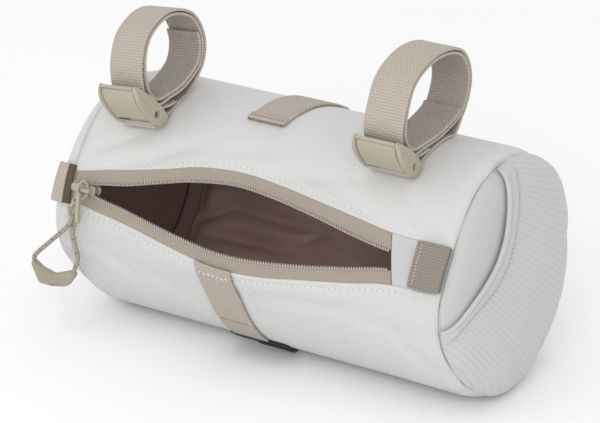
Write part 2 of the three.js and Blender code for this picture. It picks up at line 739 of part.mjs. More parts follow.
// Flat ribbon along a route, turned about the buckle's pin
function ribbon(route, strap) {
  const pin = pinOf(strap);
  const corner = (step, side, face) => {
    const index = Math.round(step * (route.length - 1));
    const here = route[index];
    const before = route[Math.max(index - 1, 0)];
    const after = route[Math.min(index + 1, route.length - 1)];
    const across = new THREE.Vector2(before.z - after.z, after.y - before.y).normalize();
    const offset = face * WEBBING.thickness / 2;
    const place = new THREE.Vector3(
      side * halfWebbing,
      here.y + across.x * offset - pin.y,
      here.z + across.y * offset - pin.z,
    );
    return place.applyMatrix4(strapTurn(strap, here.x)).add(pin);
  };
  const face = (sign) => (u, v) => corner(u, 2 * v - 1, sign);
  return wallBetween(face(1), face(-1), route.length - 1, 1);
}

// A bar or plate of a buckle, from its side-view outline
function buckleBlock(outline, width, middle) {
  const shape = new THREE.Shape(outline.map(({ along, out }) => new THREE.Vector2(along, out)));
  const block = new THREE.ExtrudeGeometry(shape, { depth: width, bevelEnabled: false });
  block.translate(0, 0, middle - width / 2);
  return block;
}

function buckleRod(radius, reach) {
  const shape = new THREE.Shape().absarc(0, 0, radius, 0, 2 * Math.PI);
  const rod = new THREE.ExtrudeGeometry(shape, { depth: 2 * reach, bevelEnabled: false, curveSegments: 8 });
  rod.translate(0, 0, -reach);
  return rod;
}

function buckleFrame() {
  const wallMiddle = (BUCKLE.innerWidth + BUCKLE.wall) / 2;
  const fullWidth = BUCKLE.innerWidth + BUCKLE.wall;
  const lowerBar = [[-1, -1], [1, -1], [1, 1], [-1, 1]].map(([along, out]) => ({
    along: LOWER_BAR.along + along * LOWER_BAR.half,
    out: LOWER_BAR.out + out * LOWER_BAR.half,
  }));
  const frame = joined([
    buckleBlock(WALL_OUTLINE, BUCKLE.wall, -wallMiddle),
    buckleBlock(WALL_OUTLINE, BUCKLE.wall, wallMiddle),
    buckleBlock(TOP_BAR, fullWidth, 0),
    buckleBlock(FRONT_BAR, fullWidth, 0),
    buckleBlock(lowerBar, fullWidth, 0),
    buckleBlock(BACK_BAR, fullWidth, 0),
  ]);
  const holes = solidOf(buckleRod(BUCKLE.hole, fullWidth));
  return geometryOf(solidOf(frame).subtract(holes));
}

function buckleLever() {
  const width = BUCKLE.innerWidth - 2 * BUCKLE.leverGap;
  return joined([
    buckleBlock(LEVER_PLATE, width, 0),
    buckleRod(BUCKLE.hub, width / 2),
    buckleRod(TRUNNION.radius, TRUNNION.reach),
  ]);
}

for (const [side, strap] of Object.entries(STRAPS)) {
  addPiece(bag, `strap_${side}`, ribbon(strapRoute(strap), strap), BEIGE);
  const { along, out } = buckleAxes(strap);
  const upright = new THREE.Matrix4().makeBasis(along, out, new THREE.Vector3(1, 0, 0));
  const buckle = new THREE.Group();
  buckle.applyMatrix4(strapTurn(strap, 1).multiply(upright));
  buckle.position.copy(pinOf(strap));
  bag.add(buckle);
  addPiece(buckle, `buckle_frame_${side}`, buckleFrame(), TAN);
  addPiece(buckle, `buckle_lever_${side}`, buckleLever(), TAN);
}

// Zip slider and pull, drawn on the cloth with x along the bag, y up the cloth and z out of it

const slider = new THREE.Group();
const uphill = new THREE.Vector3(0, Math.cos(degrees(SLIDER.bearing)), Math.sin(degrees(SLIDER.bearing)));
const outward = new THREE.Vector3(0, -uphill.z, uphill.y);
slider.applyMatrix4(new THREE.Matrix4().makeBasis(new THREE.Vector3(1, 0, 0), uphill, outward));
slider.position.copy(onTube(SLIDER.x, SLIDER.bearing, TUBE.radius));
bag.add(slider);

function sliderPlate(low, high) {
  const upper = PLATE_ROWS.map((row) => new THREE.Vector2(row.x, row.half));
  const lower = PLATE_ROWS.map((row) => new THREE.Vector2(row.x, -row.half));
  const shape = new THREE.Shape([...lower, ...upper.reverse()]);
  const plate = new THREE.ExtrudeGeometry(shape, { depth: high - low, bevelEnabled: false });
  plate.translate(0, 0, low);
  return plate;
}

// The bail arches along the slider, with room under it for the pull
function sliderBail() {
  const inner = BAIL.reach - BAIL.foot;
  const corner = (reach, low, high, cut) => [
    new THREE.Vector2(reach, low),
    new THREE.Vector2(reach, high - cut),
    new THREE.Vector2(reach - cut, high),
  ];
  const arch = (half) => half.concat(half.map((point) => new THREE.Vector2(-point.x, point.y)).reverse());
  const cut = BAIL.barHigh - BAIL.barLow;
  const shape = new THREE.Shape(arch(corner(BAIL.reach, SLIDER.topHigh - BAIL.sunk, BAIL.barHigh, cut)));
  shape.holes.push(new THREE.Path(arch(corner(inner, SLIDER.topHigh, BAIL.barLow, BAIL.corner))));
  const bail = new THREE.ExtrudeGeometry(shape, { depth: BAIL.width, bevelEnabled: false });
  bail.translate(0, 0, -BAIL.width / 2);
  bail.rotateX(Math.PI / 2);
  return bail;
}

const post = new THREE.BoxGeometry(POST.size, POST.size, SLIDER.topLow - SLIDER.underHigh + POST.size);
post.translate(POST.x, 0, (SLIDER.topLow + SLIDER.underHigh) / 2);
addPiece(slider, 'zip_slider', joined([
  sliderPlate(SLIDER.topLow, SLIDER.topHigh),
  sliderPlate(SLIDER.underLow, SLIDER.underHigh),
  post,
  sliderBail(),
]), TAN);

// The pull is an oval ring round the bail's bar, with a stem that hangs down the cloth from its outer side
function pullRing() {
  const options = { depth: PULL.thickness, bevelEnabled: false, curveSegments: 9 };
  const oval = new THREE.Shape().absellipse(0, PULL.out, PULL.long, PULL.wide, 0, 2 * Math.PI);
  const hole = new THREE.Path();
  hole.absellipse(0, PULL.out, PULL.long - PULL.wire, PULL.wide - PULL.wire, 0, 2 * Math.PI);
  oval.holes.push(hole);
  const stem = new THREE.Shape([
    new THREE.Vector2(-PULL.long / 2, STEM.out - STEM.half),
    new THREE.Vector2(-PULL.long / 2, STEM.out + STEM.half / 2),
    new THREE.Vector2(STEM.foot + STEM.tipHalf, STEM.out + STEM.tipHalf),
    new THREE.Vector2(STEM.foot, STEM.out),
    new THREE.Vector2(STEM.foot + STEM.tipHalf, STEM.out - STEM.tipHalf),
    new THREE.Vector2(-PULL.long, STEM.out - STEM.half),
  ]);
  const pull = joined([new THREE.ExtrudeGeometry(oval, options), new THREE.ExtrudeGeometry(stem, options)]);
  pull.applyMatrix4(SIDE_VIEW);
  pull.translate(-PULL.thickness / 2, 0, 0);
  return pull;
}

addPiece(slider, 'zip_pull', pullRing(), TAN);

// Pull cord: a knot beside the pull, two strands and the clip that they run into

function tube(points) {
  const sides = [];
  for (let i = 0; i < CORD.sides; i += 1) {
    const turn = (2 * Math.PI * i) / CORD.sides;
    sides.push(new THREE.Vector2(CORD.radius * Math.cos(turn), CORD.radius * Math.sin(turn)));
  }
  const path = new THREE.CatmullRomCurve3(points.map(({ x, y, z }) => new THREE.Vector3(x, y, z)));
  const steps = Math.ceil(path.getLength() / (2 * CORD.radius * CORD.stepDiameters));
  return new THREE.ExtrudeGeometry(new THREE.Shape(sides), { steps, extrudePath: path, bevelEnabled: false });
}

addPiece(bag, 'cord_left', tube(CORD_LEFT), BEIGE);
addPiece(bag, 'cord_right', tube(CORD_RIGHT), BEIGE);
const knot = addPiece(bag, 'cord_knot', new THREE.SphereGeometry(CORD.knotRadius, 10, 8), BEIGE);
knot.position.set(KNOT.x, KNOT.y, KNOT.z);

const clipShape = new THREE.Shape(CLIP_OUTLINE.map(({ x, z }) => new THREE.Vector2(x, z)));
const clip = new THREE.ExtrudeGeometry(clipShape, {
  depth: CLIP.thickness - 2 * CLIP.bevel,
  bevelThickness: CLIP.bevel,
  bevelSize: CLIP.bevel,
  bevelOffset: -CLIP.bevel,
  bevelSegments: 1,
});
clip.translate(0, 0, CLIP.bevel - CLIP.thickness / 2);
clip.rotateX(Math.PI / 2);
addPiece(bag, 'cord_clip', clip, TAN).position.set(0, CLIP.y, 0);

export default bag;
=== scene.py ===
"""Handlebar bag: cloth, webbing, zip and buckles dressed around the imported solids.

Shapes are worked out in millimetres and put into meshes in metres. X runs along the bag, -Y is its
zipped front, and a bearing is an angle round the tube in degrees, from its top towards its front.
"""

import bpy
import numpy as np
from bpy.props import FloatProperty, FloatVectorProperty, PointerProperty
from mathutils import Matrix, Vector


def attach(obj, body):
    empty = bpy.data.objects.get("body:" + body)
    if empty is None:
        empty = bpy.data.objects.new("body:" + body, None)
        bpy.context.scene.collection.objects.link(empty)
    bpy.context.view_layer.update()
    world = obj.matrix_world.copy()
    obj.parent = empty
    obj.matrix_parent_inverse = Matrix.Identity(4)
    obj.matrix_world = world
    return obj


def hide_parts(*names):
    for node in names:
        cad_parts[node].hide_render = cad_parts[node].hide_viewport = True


bl_info = {
    "name": "Handlebar bag",
    "version": (1, 0, 0),
    "blender": (4, 5, 0),
    "location": "3D View > Sidebar > Bag",
    "description": "Dresses the packed solids of a handlebar bag in cloth, webbing and moulded pieces",
    "category": "Object",
}

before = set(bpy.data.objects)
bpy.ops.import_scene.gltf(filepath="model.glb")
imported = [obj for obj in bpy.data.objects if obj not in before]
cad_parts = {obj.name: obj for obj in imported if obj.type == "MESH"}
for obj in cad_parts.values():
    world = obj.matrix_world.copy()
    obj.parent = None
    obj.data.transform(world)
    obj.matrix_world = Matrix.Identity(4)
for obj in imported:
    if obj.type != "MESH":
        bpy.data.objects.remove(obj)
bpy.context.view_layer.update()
MM = 0.001
BAG_BODY = "bag"

# Sizes shared by many pieces
GAP = 0.3
SEAM_GAP = 0.6
CLOTH = 1.6
RADIUS = 58.0
AXIS = 56.0
SEAM = 102.0
SHOULDER, SHOULDER_DROP = 7.0, 2.2
REAR_SEAM = 205.0
SAG_FROM = 55.0
WEBBING_WIDTH, WEBBING_THICK = 20.0, 1.4
LAID = 0.06
SHARP = 38

# A sheet's edge: a place within its rim, levels round its side, and its thickness towards its ends
IN_RIM, TURNING, SQUEEZED = 0.3, np.array([0.15, 0.5, 0.85]), np.array([0.3, 0.75])

# The zip's tapes and teeth, the slanted end of its opening, and where each tape and its teeth end
TAPE_DEPTH, TAPE_THICK = 0.5, 1.0
TEETH_WIDTH = 1.6
ZIP_END_X, ZIP_END_SLANT = 74.3, 6.0
UPPER_ENDS, LOWER_ENDS = (72.0, 73.0), (76.1, 74.6)
COIL_START, COIL_WIDE, COIL_DEEP, COIL_THREAD = 0.5, 0.42, 0.6, 0.4

# The round ends: the bearings where their rims show, their bulge, the left one's swell, their seams' cords
CAP_RADIUS, CAP_FULLNESS, CAP_WIDER, CAP_FILL = 54.2, 2.4, 1.3, 6.4
LEFT_SHOWN, RIGHT_SHOWN = (-125, -105, 105, 125), (8, 22, 86, 98)
LEFT_BULGE, RIGHT_BULGE = 11.0, 6.5
LEFT_FULLNESS, LEFT_SWELL = 4.0, 8.0
SWELL_AT, SWELL_LOWERED = (98, 32), 0.35
SEAM_CORD, LEFT_CORD_DEPTH, RIGHT_CORD_DEPTH = 0.85, 0.9, 1.9

# The pocket, its fan of holes, and its hem
POCKET_BULGE, POCKET_THICK, POCKET_BEARING = 14.5, 1.2, 53.0
FAN, FAN_FROM = 0.006, 30
HEM_WIDTH, HEM_THICK = 9.0, 1.7
HEM_NARROWER, HEM_NARROWS = 0.5, (0.4, 0.78)
HEM_GUESS, HEM_ROUNDS, HEM_SIDE = 45.0, 12, 0.25
HEM_ROLL, ROLL_AT, ROLL_FADE = 0.9, (0.9, 0.1), 4.0
HEM_GROOVE, HEM_GROOVE_AT = 0.5, (0.68, 0.08)
DENTS_FADE, RIM_AT = (1.0, 0.85), (0.92, 0.1)

# The lining, where its folds fade out, and its rippled binding
LINING_DEPTH, LINING_THICK = CLOTH + 0.9, 1.0
LINING_DEEPER, LINING_RIGHT = 3.2, SEAM - 4.4
LINING_CLEAR, LINING_WAVES = 0.9, 0.35
FOLDED = (SEAM - 4.5, SEAM - 14)
BINDING, BINDING_THICK, RIPPLE, RIPPLES = 8.0, 1.0, 0.5, 31

# Each tab's seam and fold along X, bearings, level and finish; the strip; the top loop
RIGHT_TAB = (SEAM, 87.0, (57.5, 78.0), GAP, "webbing_dark")
LEFT_TAB = (-SEAM + 0.5, -SEAM - GAP - 7.2, (61.5, 80.8), 1.3 - WEBBING_THICK, "webbing")
TAB_SLANT, TAB_DIP, TAB_DIP_FROM = 0.26, 1.0, 4.5
# Tab thickness, room inside its fold, and rows of painted shadow beside the left tab's seam
TAB_THICK, TAB_ROOM, TAB_PAINTED_SHADOW_ROWS = WEBBING_THICK - 0.1, 0.15, 9
STRIP_X, STRIP_SLANT, STRIP_END = -12.8, 4.0, 140.2
LOOP_X, LOOP_SLANT, LOOP_FROM, LOOP_LONG = -12, 5, 18, 52
LOOP_FOLD, LOOP_FOLD_ENDS, LOOP_RISE = 0.9, (0.1, 0.075), 0.25

# The patch's layers: name, ends, bearings, depths, steps along, rim, solid
PATCH_LAYERS = (
    ("rubber_patch", (-23, 8.5), (140.6, 153.5), (-GAP - 1.3, -GAP), 40, 0.02, ["lower_patch"]),
    ("rubber_patch_layer", (-8, 7.5), (142.6, 153), (-GAP - 2.0, -GAP - 1.3), 24, 0.03, []),
)

# Stitches: distance between them, length, radius
HEM_STITCH = (2.3, 1.7, 0.24)
TAB_STITCH = (1.6, 1.1, 0.22)
ZIGZAG_STITCH = (3.0, 2.0, 0.26)
STRIP_STITCH = (1.9, 1.5, 0.24)
LOOP_STITCH = (1.5, 0.9, 0.22)
# Thread radius beside the zip; length and radius of the dark dots painted as shade of its needle holes
ZIP_THREAD, HOLE = 0.26, (0.6, 0.17)

# Where the rows of sewing run, and how far their threads and holes are sunk in
SUNK, HOLE_SUNK = 0.02, 0.06
SEWN_UPPER, SEWN_LOWER = (-99, 95), (-99, 84)
HEM_SEWN_TURN, HEM_SEWN_IN = 0.92, 1.2
TAB_SEWN_X, TAB_SEWN = 89.4, (58.5, 77)
STRIP_SEWN, ZIGZAG_BELOW = (-22.8, -6.0), 3.6
STRIP_LOW, STRIP_LOW_SHIFT = 123.6, 2.7
LOOP_SEWN, LOOP_SEWN_ASIDE = 16.3, 2.3

# Dark flecks of the cord
FLECK_COLOUR = (0.05, 0.05, 0.055)

# Mouth rows: x, then bearings of the upper cloth, upper tape, lower tape and lower cloth edges
MOUTH = np.array([
    (-102, 64.8, 68.4, 73.7, 78.0),
    (-92, 62.8, 67.9, 73.9, 79.5),
    (-84, 60.8, 66.2, 75.7, 80.9),
    (-71, 58.1, 63.9, 77.7, 82.8),
    (-53, 53.7, 59.1, 80.9, 85.4),
    (-36, 49.0, 54.7, 83.4, 87.9),
    (-13, 46.7, 51.8, 85.5, 90.5),
    (9, 48.2, 53.4, 84.8, 89.9),
    (31, 51.3, 56.8, 82.2, 87.0),
    (53, 54.5, 61.0, 78.3, 83.7),
    (73, 57.2, 63.7, 74.4, 79.9),
    (102, 57.6, 63.7, 74.4, 78.6),
], float)
UPPER_CLOTH, UPPER_TAPE, LOWER_TAPE, LOWER_CLOTH = 1, 2, 3, 4

# Swells and dents of the cloth: height, x, bearing, turn, spread along X, spread in bearing
FOLDS = np.array([
    (5.4, -12, 90, 0, 48, 12),
    (-1.6, -52, 42, 0, 15, 10),
    (-1.2, 30, 38, 0, 18, 10),
    (-1.3, -74, 98, 0, 14, 16),
    (1.6, 86, 122, 0, 18, 22),
], float)

# Bearings from the mouth's cloth edges to the rows of sewing beside the zip
SEW_UPPER, SEW_LOWER = 3.0, 3.4

# How much the cloth is creased, its groove along the sewing, and its gathers at the end seams
CREASED = 1.5
GROOVE, GROOVE_ENDS = 0.4, (100, 95)
GATHERS, GATHERS_STRAY, GATHER_DEPTH, GATHER_REACH = 19, 2.1, 0.35, 4.5

# Soft creases in the cloth: height, x, bearing, turn in degrees, half length, half width
CREASES = np.array([
    (-0.9, -84, 47, -32, 15, 3.0),
    (-0.8, -52, 43, -30, 20, 3.4),
    (-0.6, -66, 52, -20, 16, 3.0),
    (-0.6, -18, 36, -14, 26, 4.0),
    (-0.7, 22, 41, -10, 22, 3.4),
    (-0.6, 44, 46, 18, 24, 3.6),
    (-0.7, 82, 47, 40, 15, 3.0),
    (-0.6, 90, 30, 50, 14, 3.4),
    (-0.8, -78, 104, 30, 18, 4.0),
    (-0.6, -46, 110, 22, 26, 5.0),
    (-0.8, 34, 99, -6, 34, 4.0),
    (-0.7, 72, 101, 4, 22, 3.6),
    (-0.8, 88, 112, 46, 18, 4.0),
    (-0.7, 40, -40, 20, 30, 5.0),
    (-0.7, -40, -60, -16, 34, 5.0),
    (-0.6, 70, -95, 30, 26, 5.0),
    (-0.6, -70, -100, -34, 24, 5.0),
], float)

# Folds of the lining, in the same columns
LINING_FOLDS = np.array([
    (-5.5, -90, -115, 30, 15, 8.0),
    (-5.0, -84, -132, 20, 12, 5.0),
    (-5.5, -52, -126, -2, 26, 6.5),
    (-4.5, -50, -111, -4, 30, 6.0),
    (-5.0, -66, -142, 2, 32, 6.0),
    (-4.0, -12, -128, -10, 22, 8.0),
    (-3.5, 2, -113, 8, 26, 7.0),
    (2.8, -85.6, -123.7, 30, 16, 2.2),
    (2.8, -49.9, -118.6, -3, 20, 2.2),
    (2.8, -70.5, -134.5, 1, 27, 2.2),
    (2.0, -28, -126, 35, 14, 2.4),
    (-2.4, 20, -124, -14, 30, 3.6),
    (-2.2, 50, -104, 20, 26, 4.0),
    (-2.2, 44, -60, -18, 34, 4.6),
], float)

# The right seam's stray along X, by bearing
RIGHT_SEAM = np.array([
    (-155, 1), (-80, -0.6), (20, -1.6), (58, -0.4), (96, -2.8),
    (124, 1.2), (146, 5), (172, 4), (205, 1),
], float)

# The pocket's mouth: across it, and its distance from the end's middle
HEM = np.array([
    (-50, 39.6), (-38, 40.2), (-26, 39.8), (-13, 38.4), (0, 37.0), (12, 36.8), (26, 38.6), (50, 43),
], float)

# Uneven rim of the pocket: bearing, and how far it stands out
POCKET_RIM = np.array([
    (-180, 0), (-125, 0), (-104, -1.1), (-92, -2.3), (-84, -2.0), (-77, 0.2),
    (-64, 1.1), (-48, 2.3), (-34, 1.8), (-14, 0.4), (12, 0), (180, 0),
], float)

# Dents of the pocket: depth, across, reach, turn, half length, half width
POCKET_DENTS = np.array([
    (-1.3, -34, -4, 62, 18, 3.6),
    (-1.0, -40, -20, 50, 16, 3.4),
    (-0.9, -20, -38, 24, 18, 3.4),
    (-0.7, 40, 4, -60, 16, 3.2),
    (-0.6, 20, -30, -14, 18, 4.0),
    (-0.6, -10, 6, 80, 20, 5.0),
], float)

# Each strap's loop in side view from its buckle's pin: back, up, and the room between its turns
LEFT_LOOP = np.array([
    (38.6, 12.2, 1.9), (43.2, 24.5, 1.9), (37.6, 38.2, 1.9), (21.0, 43.8, 1.9), (4.6, 37.0, 1.9),
    (-2.0, 26.0, 2.4), (-3.6, 16.0, 3.2), (-2.4, 8.4, 3.4), (1.4, 3.9, 3.4), (5.8, 2.7, 2.6),
    (13.0, 3.8, 1.9), (26.0, 5.4, 1.9),
])
RIGHT_LOOP = np.array([
    (49.8, 7.6, 1.9), (57.2, 23.4, 1.9), (49.4, 38.6, 1.9), (25.2, 44.5, 1.9), (4.2, 38.0, 1.9),
    (-3.4, 26.2, 2.4), (-6.0, 15.4, 3.2), (-3.3, 8.1, 3.4), (1.4, 3.9, 3.4), (5.8, 2.9, 2.6),
    (14.0, 3.4, 1.9), (33.0, 3.2, 1.9),
])

# Where each strap sits: pin, buckle tilt, sideways lean and yaw, how far it is sewn, and its turns
STRAPS = {
    "left": dict(x=-72.9, bearing=34.8, radius=68.4, tilt=41, lean=8, yaw=-6, sewn_to=11,
                 turns=2.14, loop=LEFT_LOOP),
    "right": dict(x=60.5, bearing=29.3, radius=66.4, tilt=47, lean=0, yaw=0, sewn_to=-10,
                  turns=2.012, loop=RIGHT_LOOP),
}

# A strap's fold round the buckle's lower bar: bearing past the bar, whether its level is the bar's (1) or
# the sewn layer's (0), rise, share of the lean
FOLD_ROWS = np.array([
    (-13, 0, 1.9, 0), (-9, 0, 2.5, 0.3), (-2.2, 1, 2.3, 1), (2.8, 1, 2.0, 1), (5.6, 1, -0.3, 1),
    (3.0, 1, -2.3, 1), (-3, 1, -2.3, 0.8), (-7, 0, 0.1, 0.1),
])
SEWN_PAST, SEWN_POINTS = -10, 7
JOIN_STEP, JOIN_NEAR = 2.0 / 42, 1.2
FOLDED_COLUMNS, BAND_EDGES = 12, 6
LEAD_STEPS, TURN_STEPS = 420, 640
CROSS_FROM, CROSS_TO = 0.78, 0.98
KNOB, KNOB_DRAWN_IN = 0.3, 0.2

# Outlines in a buckle's side view: along it to its top, and out of its front
WALL_OUTLINE = np.array([
    (-7.8, -1.8), (-7.4, -4.1), (-1, -5.3), (7.6, -5.4), (12.4, -4.3), (18.4, -3.5), (19.9, -2.3),
    (18.9, -0.5), (16.5, 1.3), (13.6, 2.9), (9, 4.1), (3, 4.7), (-2, 4.5), (-6.4, 3),
])
TOP_BAR = np.array([(18.7, -2.3), (19.5, -2.5), (19.9, -1.9), (19.5, -1.2), (18.7, -0.8)])
FRONT_BAR = np.array([(-2.1, 3.5), (-3.95, 1.1), (-4.7, 1.6), (-3, 3.9)])
LOWER_BAR = np.array([(-6.6, -3.1), (-5.2, -3.1), (-5.2, -1.7), (-6.6, -1.7)])
LOWER_BAR_MIDDLE = np.array([-5.9, -2.4])
BACK_BAR = np.array([(4.4, -5.8), (7.2, -5.7), (7.2, -4.85), (4.4, -4.95)])
LEVER_PLATE = np.array([
    (-1.1, 3.0), (1, 4.2), (4, 4), (9, 3.4), (13.6, 2.3), (16.8, 0.6), (18.2, -0.8), (18.0, -2.0),
    (13, 0.4), (6, 1.9), (2.2, 1), (-1.5, 1),
])
BUCKLE_INNER, BUCKLE_WALL = 20.8, 2.6
DRAWN_IN, DRAWN_FROM = 1.8, (12.0, 20.4)
FRONT_BAR_LONG = 5.0
PIN_HOLE, PIN_RADIUS, LEVER_BOSS = 1.5, 1.2, 2

# The slider's plate and post on the cloth, along the zip and up it; its bail and its pull's stem from the
# side; and the pull's ring, along the zip, up it and out
SLIDER_X, SLIDER_BEARING = -90.2, 71.4
PLATE = np.array([
    (-9.4, -1.5), (-8.4, -1.9), (-1, -1.8), (3.0, -2.3), (4.2, -1.6),
    (4.2, 1.6), (3.0, 2.3), (-1, 1.8), (-8.4, 1.9), (-9.4, 1.5),
])

SLIDER_POST = np.array([(1.6, -0.8), (3.2, -0.8), (3.2, 0.8), (1.6, 0.8)])
BAIL = np.array([
    (-3.4, 1.6), (-3.4, 5.2), (-2.0, 6.6), (2.0, 6.6), (3.4, 5.2), (3.4, 1.6),
    (2.2, 1.6), (2.2, 4.4), (1.6, 5.0), (-1.6, 5.0), (-2.2, 4.4), (-2.2, 1.6),
])
STEM = np.array([
    (-1.0, 7.2), (-1.2, 8.6), (-13.6, 9.7), (-15.2, 9.3),
    (-15.7, 8.2), (-15.2, 7.0), (-13.4, 6.7), (-4.9, 7.1),
])
RING_MIDDLE, RING_RADIUS = np.array([0, 0, 5.8]), 0.75
RING_WIDE, RING_TALL = np.array([0, 4.15, 0]), 2.45 * np.array([-0.7, 0, 0.7])
RING_ACROSS = np.array([0.63, 0, 0.63])
STEM_ASIDE, STEM_SKEW = 0.8, 0.16

# The cord's strands from the pull to the clip, the knot, and the clip's outline in X and Z
CORD_LEFT = np.array([
    (-91.9, -61.4, 74.6), (-92.9, -62.6, 71.0), (-93.4, -63.6, 67.4), (-93.6, -64.4, 64.0),
    (-95.8, -64.2, 59.2), (-103.6, -63.6, 51.2), (-111.6, -63, 44.0), (-118.8, -63, 37.6),
    (-122.4, -63, 33.8), (-122.9, -63, 30.8),
])
CORD_RIGHT = np.array([
    (-93.0, -62.0, 67.8), (-92.5, -61.8, 64.2), (-94.4, -62.2, 59.6), (-95.4, -62.6, 54.6),
    (-94.0, -63, 48.0), (-92.6, -63, 41.6), (-94.5, -63, 35.9), (-95.4, -63, 33.2),
])
KNOT = np.array([-93.2, -65.2, 66.9])
KNOT_SIZE, KNOT_CORD = 0.66, 0.9
CORD_RADIUS = 1.1
CORD_BENDS = (60, 40)
CLIP_Y, CLIP_HALF = -63.0, 1.8
CLIP_FOLD, CLIP_LEAN = -107.5, 0.32
CLIP_OUTLINE = np.array([
    (-124.5, 30.3), (-118.4, 21.4), (-110.0, 23.0), (-98.8, 25.4), (-93.6, 32.6), (-95.6, 34.4),
    (-106.8, 30.0), (-116.6, 30.0), (-122.1, 32.0),
])

# The floor, the lamps in metres with their size and power, and the camera
FLOOR_HALF, FLOOR_DEPTH, WORLD_LIGHT = 3000, 0.15, 0.88
LAMPS = (
    ("key", (-0.55, -0.75, 1.15), 0.9, 1.6),
    ("fill", (0.45, -1.2, 0.75), 0.7, 6.0),
    ("back", (0.1, 1.1, 1.0), 1.2, 0.6),
)
LAMPS_AT = Vector((0, 0, 0.06))
CAMERA_AT, CAMERA_LOOKS = (0.6017, -0.9714, 0.5573), (-0.48397, 0.77766, -0.40127)


# Tables and curves

def table_value(table, column, at):
    """Cubic through a table's rows: each row's slope is that of the line between its two neighbours."""
    keys, values = table[:, 0], table[:, column]
    index = np.arange(len(keys))
    before, after = np.maximum(index - 1, 0), np.minimum(index + 1, len(keys) - 1)
    slope = (values[after] - values[before]) / (keys[after] - keys[before])
    high = np.clip(np.searchsorted(keys, at), 1, len(keys) - 1)
    low = high - 1
    span = keys[high] - keys[low]
    t = np.clip((at - keys[low]) / span, 0, 1)
    rise = t * t * (3 - 2 * t)
    lead = t * (1 - t) ** 2 * span * slope[low]
    trail = t * t * (t - 1) * span * slope[high]
    return values[low] + (values[high] - values[low]) * rise + lead + trail


def smoothstep(low, high, value):
    """Zero below low, one above high, and a cubic ease between them."""
    t = np.clip((value - low) / (high - low), 0, 1)
    return t * t * (3 - 2 * t)


def spline(points, closed=False, per=40):
    """Centripetal cubic through points: knots are spaced by the square root of each chord."""
    points = np.asarray(points, float)
    if closed:
        rows = np.concatenate([points[-1:], points, points[:2]])
    else:
        before, after = 2 * points[:1] - points[1:2], 2 * points[-1:] - points[-2:-1]
        rows = np.concatenate([before, points, after])
    p0, p1, p2, p3 = rows[:-3], rows[1:-2], rows[2:-1], rows[3:]
    chords = (p1 - p0, p2 - p1, p3 - p2)
    d0, d1, d2 = (np.sqrt(np.linalg.norm(chord, axis=1))[:, None] for chord in chords)
    m1 = ((p1 - p0) / d0 - (p2 - p0) / (d0 + d1) + (p2 - p1) / d1) * d1
    m2 = ((p2 - p1) / d1 - (p3 - p1) / (d1 + d2) + (p3 - p2) / d2) * d1
    square, cube = -3 * p1 + 3 * p2 - 2 * m1 - m2, 2 * p1 - 2 * p2 + m1 + m2
    t = (np.arange(per) / per)[None, :, None]
    curve = p1[:, None] + m1[:, None] * t + square[:, None] * t * t + cube[:, None] * t ** 3
    curve = curve.reshape(-1, points.shape[1])
    return np.concatenate([curve, points[:1] if closed else points[-1:]])


def bell(value, middle, width):
    """Bell curve: one at its middle, falling off over its width."""
    return np.exp(-(((value - middle) / width) ** 2))


def lengths(path):
    """Distance travelled along a path, at each of its points."""
    return np.concatenate([[0.0], np.cumsum(np.linalg.norm(np.diff(path, axis=0), axis=1))])


def evenly(path, count, measure=None):
    """The path's points at equal distances along it, by its columns from measure on."""
    travelled = lengths(path if measure is None else path[:, measure:])
    at = np.linspace(0, travelled[-1], count) if np.isscalar(count) else count * travelled[-1]
    return np.stack([np.interp(at, travelled, column) for column in path.T], -1)


def unit(vectors):
    """Vectors scaled to a length of one."""
    return vectors / np.maximum(np.linalg.norm(vectors, axis=-1, keepdims=True), 1e-9)


# The bag's surface

def on_tube(x, bearing, radius):
    """Point at a place along the bag, a bearing round its axis and a radius from it."""
    turn = np.radians(bearing)
    return np.stack(np.broadcast_arrays(x, -radius * np.sin(turn), AXIS + radius * np.cos(turn)), -1)


def bumps(rows, a, b):
    """Sum of long soft dents: each is a bell curve along and across its own turned direction."""
    total = np.zeros(np.broadcast(a, b).shape)
    for height, a0, b0, turn, long, wide in rows:
        c, s = np.cos(np.radians(turn)), np.sin(np.radians(turn))
        along, across = (a - a0) * c + (b - b0) * s, (b - b0) * c - (a - a0) * s
        total = total + height * np.exp(-(along / long) ** 2 - (across / wide) ** 2)
    return total


def arc(bearing):
    """Length round the tube of a bearing."""
    return np.radians(bearing) * RADIUS


def laid_flat(rows):
    """Rows of creases, with each bearing turned into a length round the tube."""
    flat = rows.copy()
    flat[:, 2] = arc(flat[:, 2])
    return flat


def bag_radius(x, bearing, creased=0.0):
    """Radius of the cloth: round, rolled over at the seams, swollen, creased, drawn in along the rows of
    sewing and gathered at the end seams, and flat where it rests."""
    past = np.maximum(np.abs(x) - (SEAM - SHOULDER), 0) / SHOULDER
    radius = RADIUS - SHOULDER_DROP * past * past + bumps(FOLDS, x, bearing)
    radius = radius + creased * bumps(laid_flat(CREASES), x, arc(bearing))
    for column, offset in ((UPPER_CLOTH, -SEW_UPPER), (LOWER_CLOTH, SEW_LOWER)):
        off = arc(bearing - mouth(column, offset)(x))
        radius = radius - creased * GROOVE * bell(off, 0, 1) * smoothstep(*GROOVE_ENDS, np.abs(x))
    turn = np.radians(bearing)
    gathers = 0.5 + 0.5 * np.sin(turn * GATHERS + GATHERS_STRAY * np.sin(turn * 5))
    fading = np.exp(-(SEAM - np.abs(x)) / GATHER_REACH)
    return np.minimum(radius - creased * GATHER_DEPTH * gathers * fading, flat_limit(bearing))


def flat_limit(bearing, clear=0.0):
    """Largest radius at a bearing that stays a little clear of the table."""
    down = -np.cos(np.radians(bearing))
    return np.where(down > 0, (AXIS - clear) / np.maximum(down, 1e-6), 1e6)


def seam_stray(bearing):
    """How far the right seam strays along X at a bearing."""
    first = RIGHT_SEAM[0, 0]
    return table_value(RIGHT_SEAM, 1, np.mod(bearing - first, 360) + first)


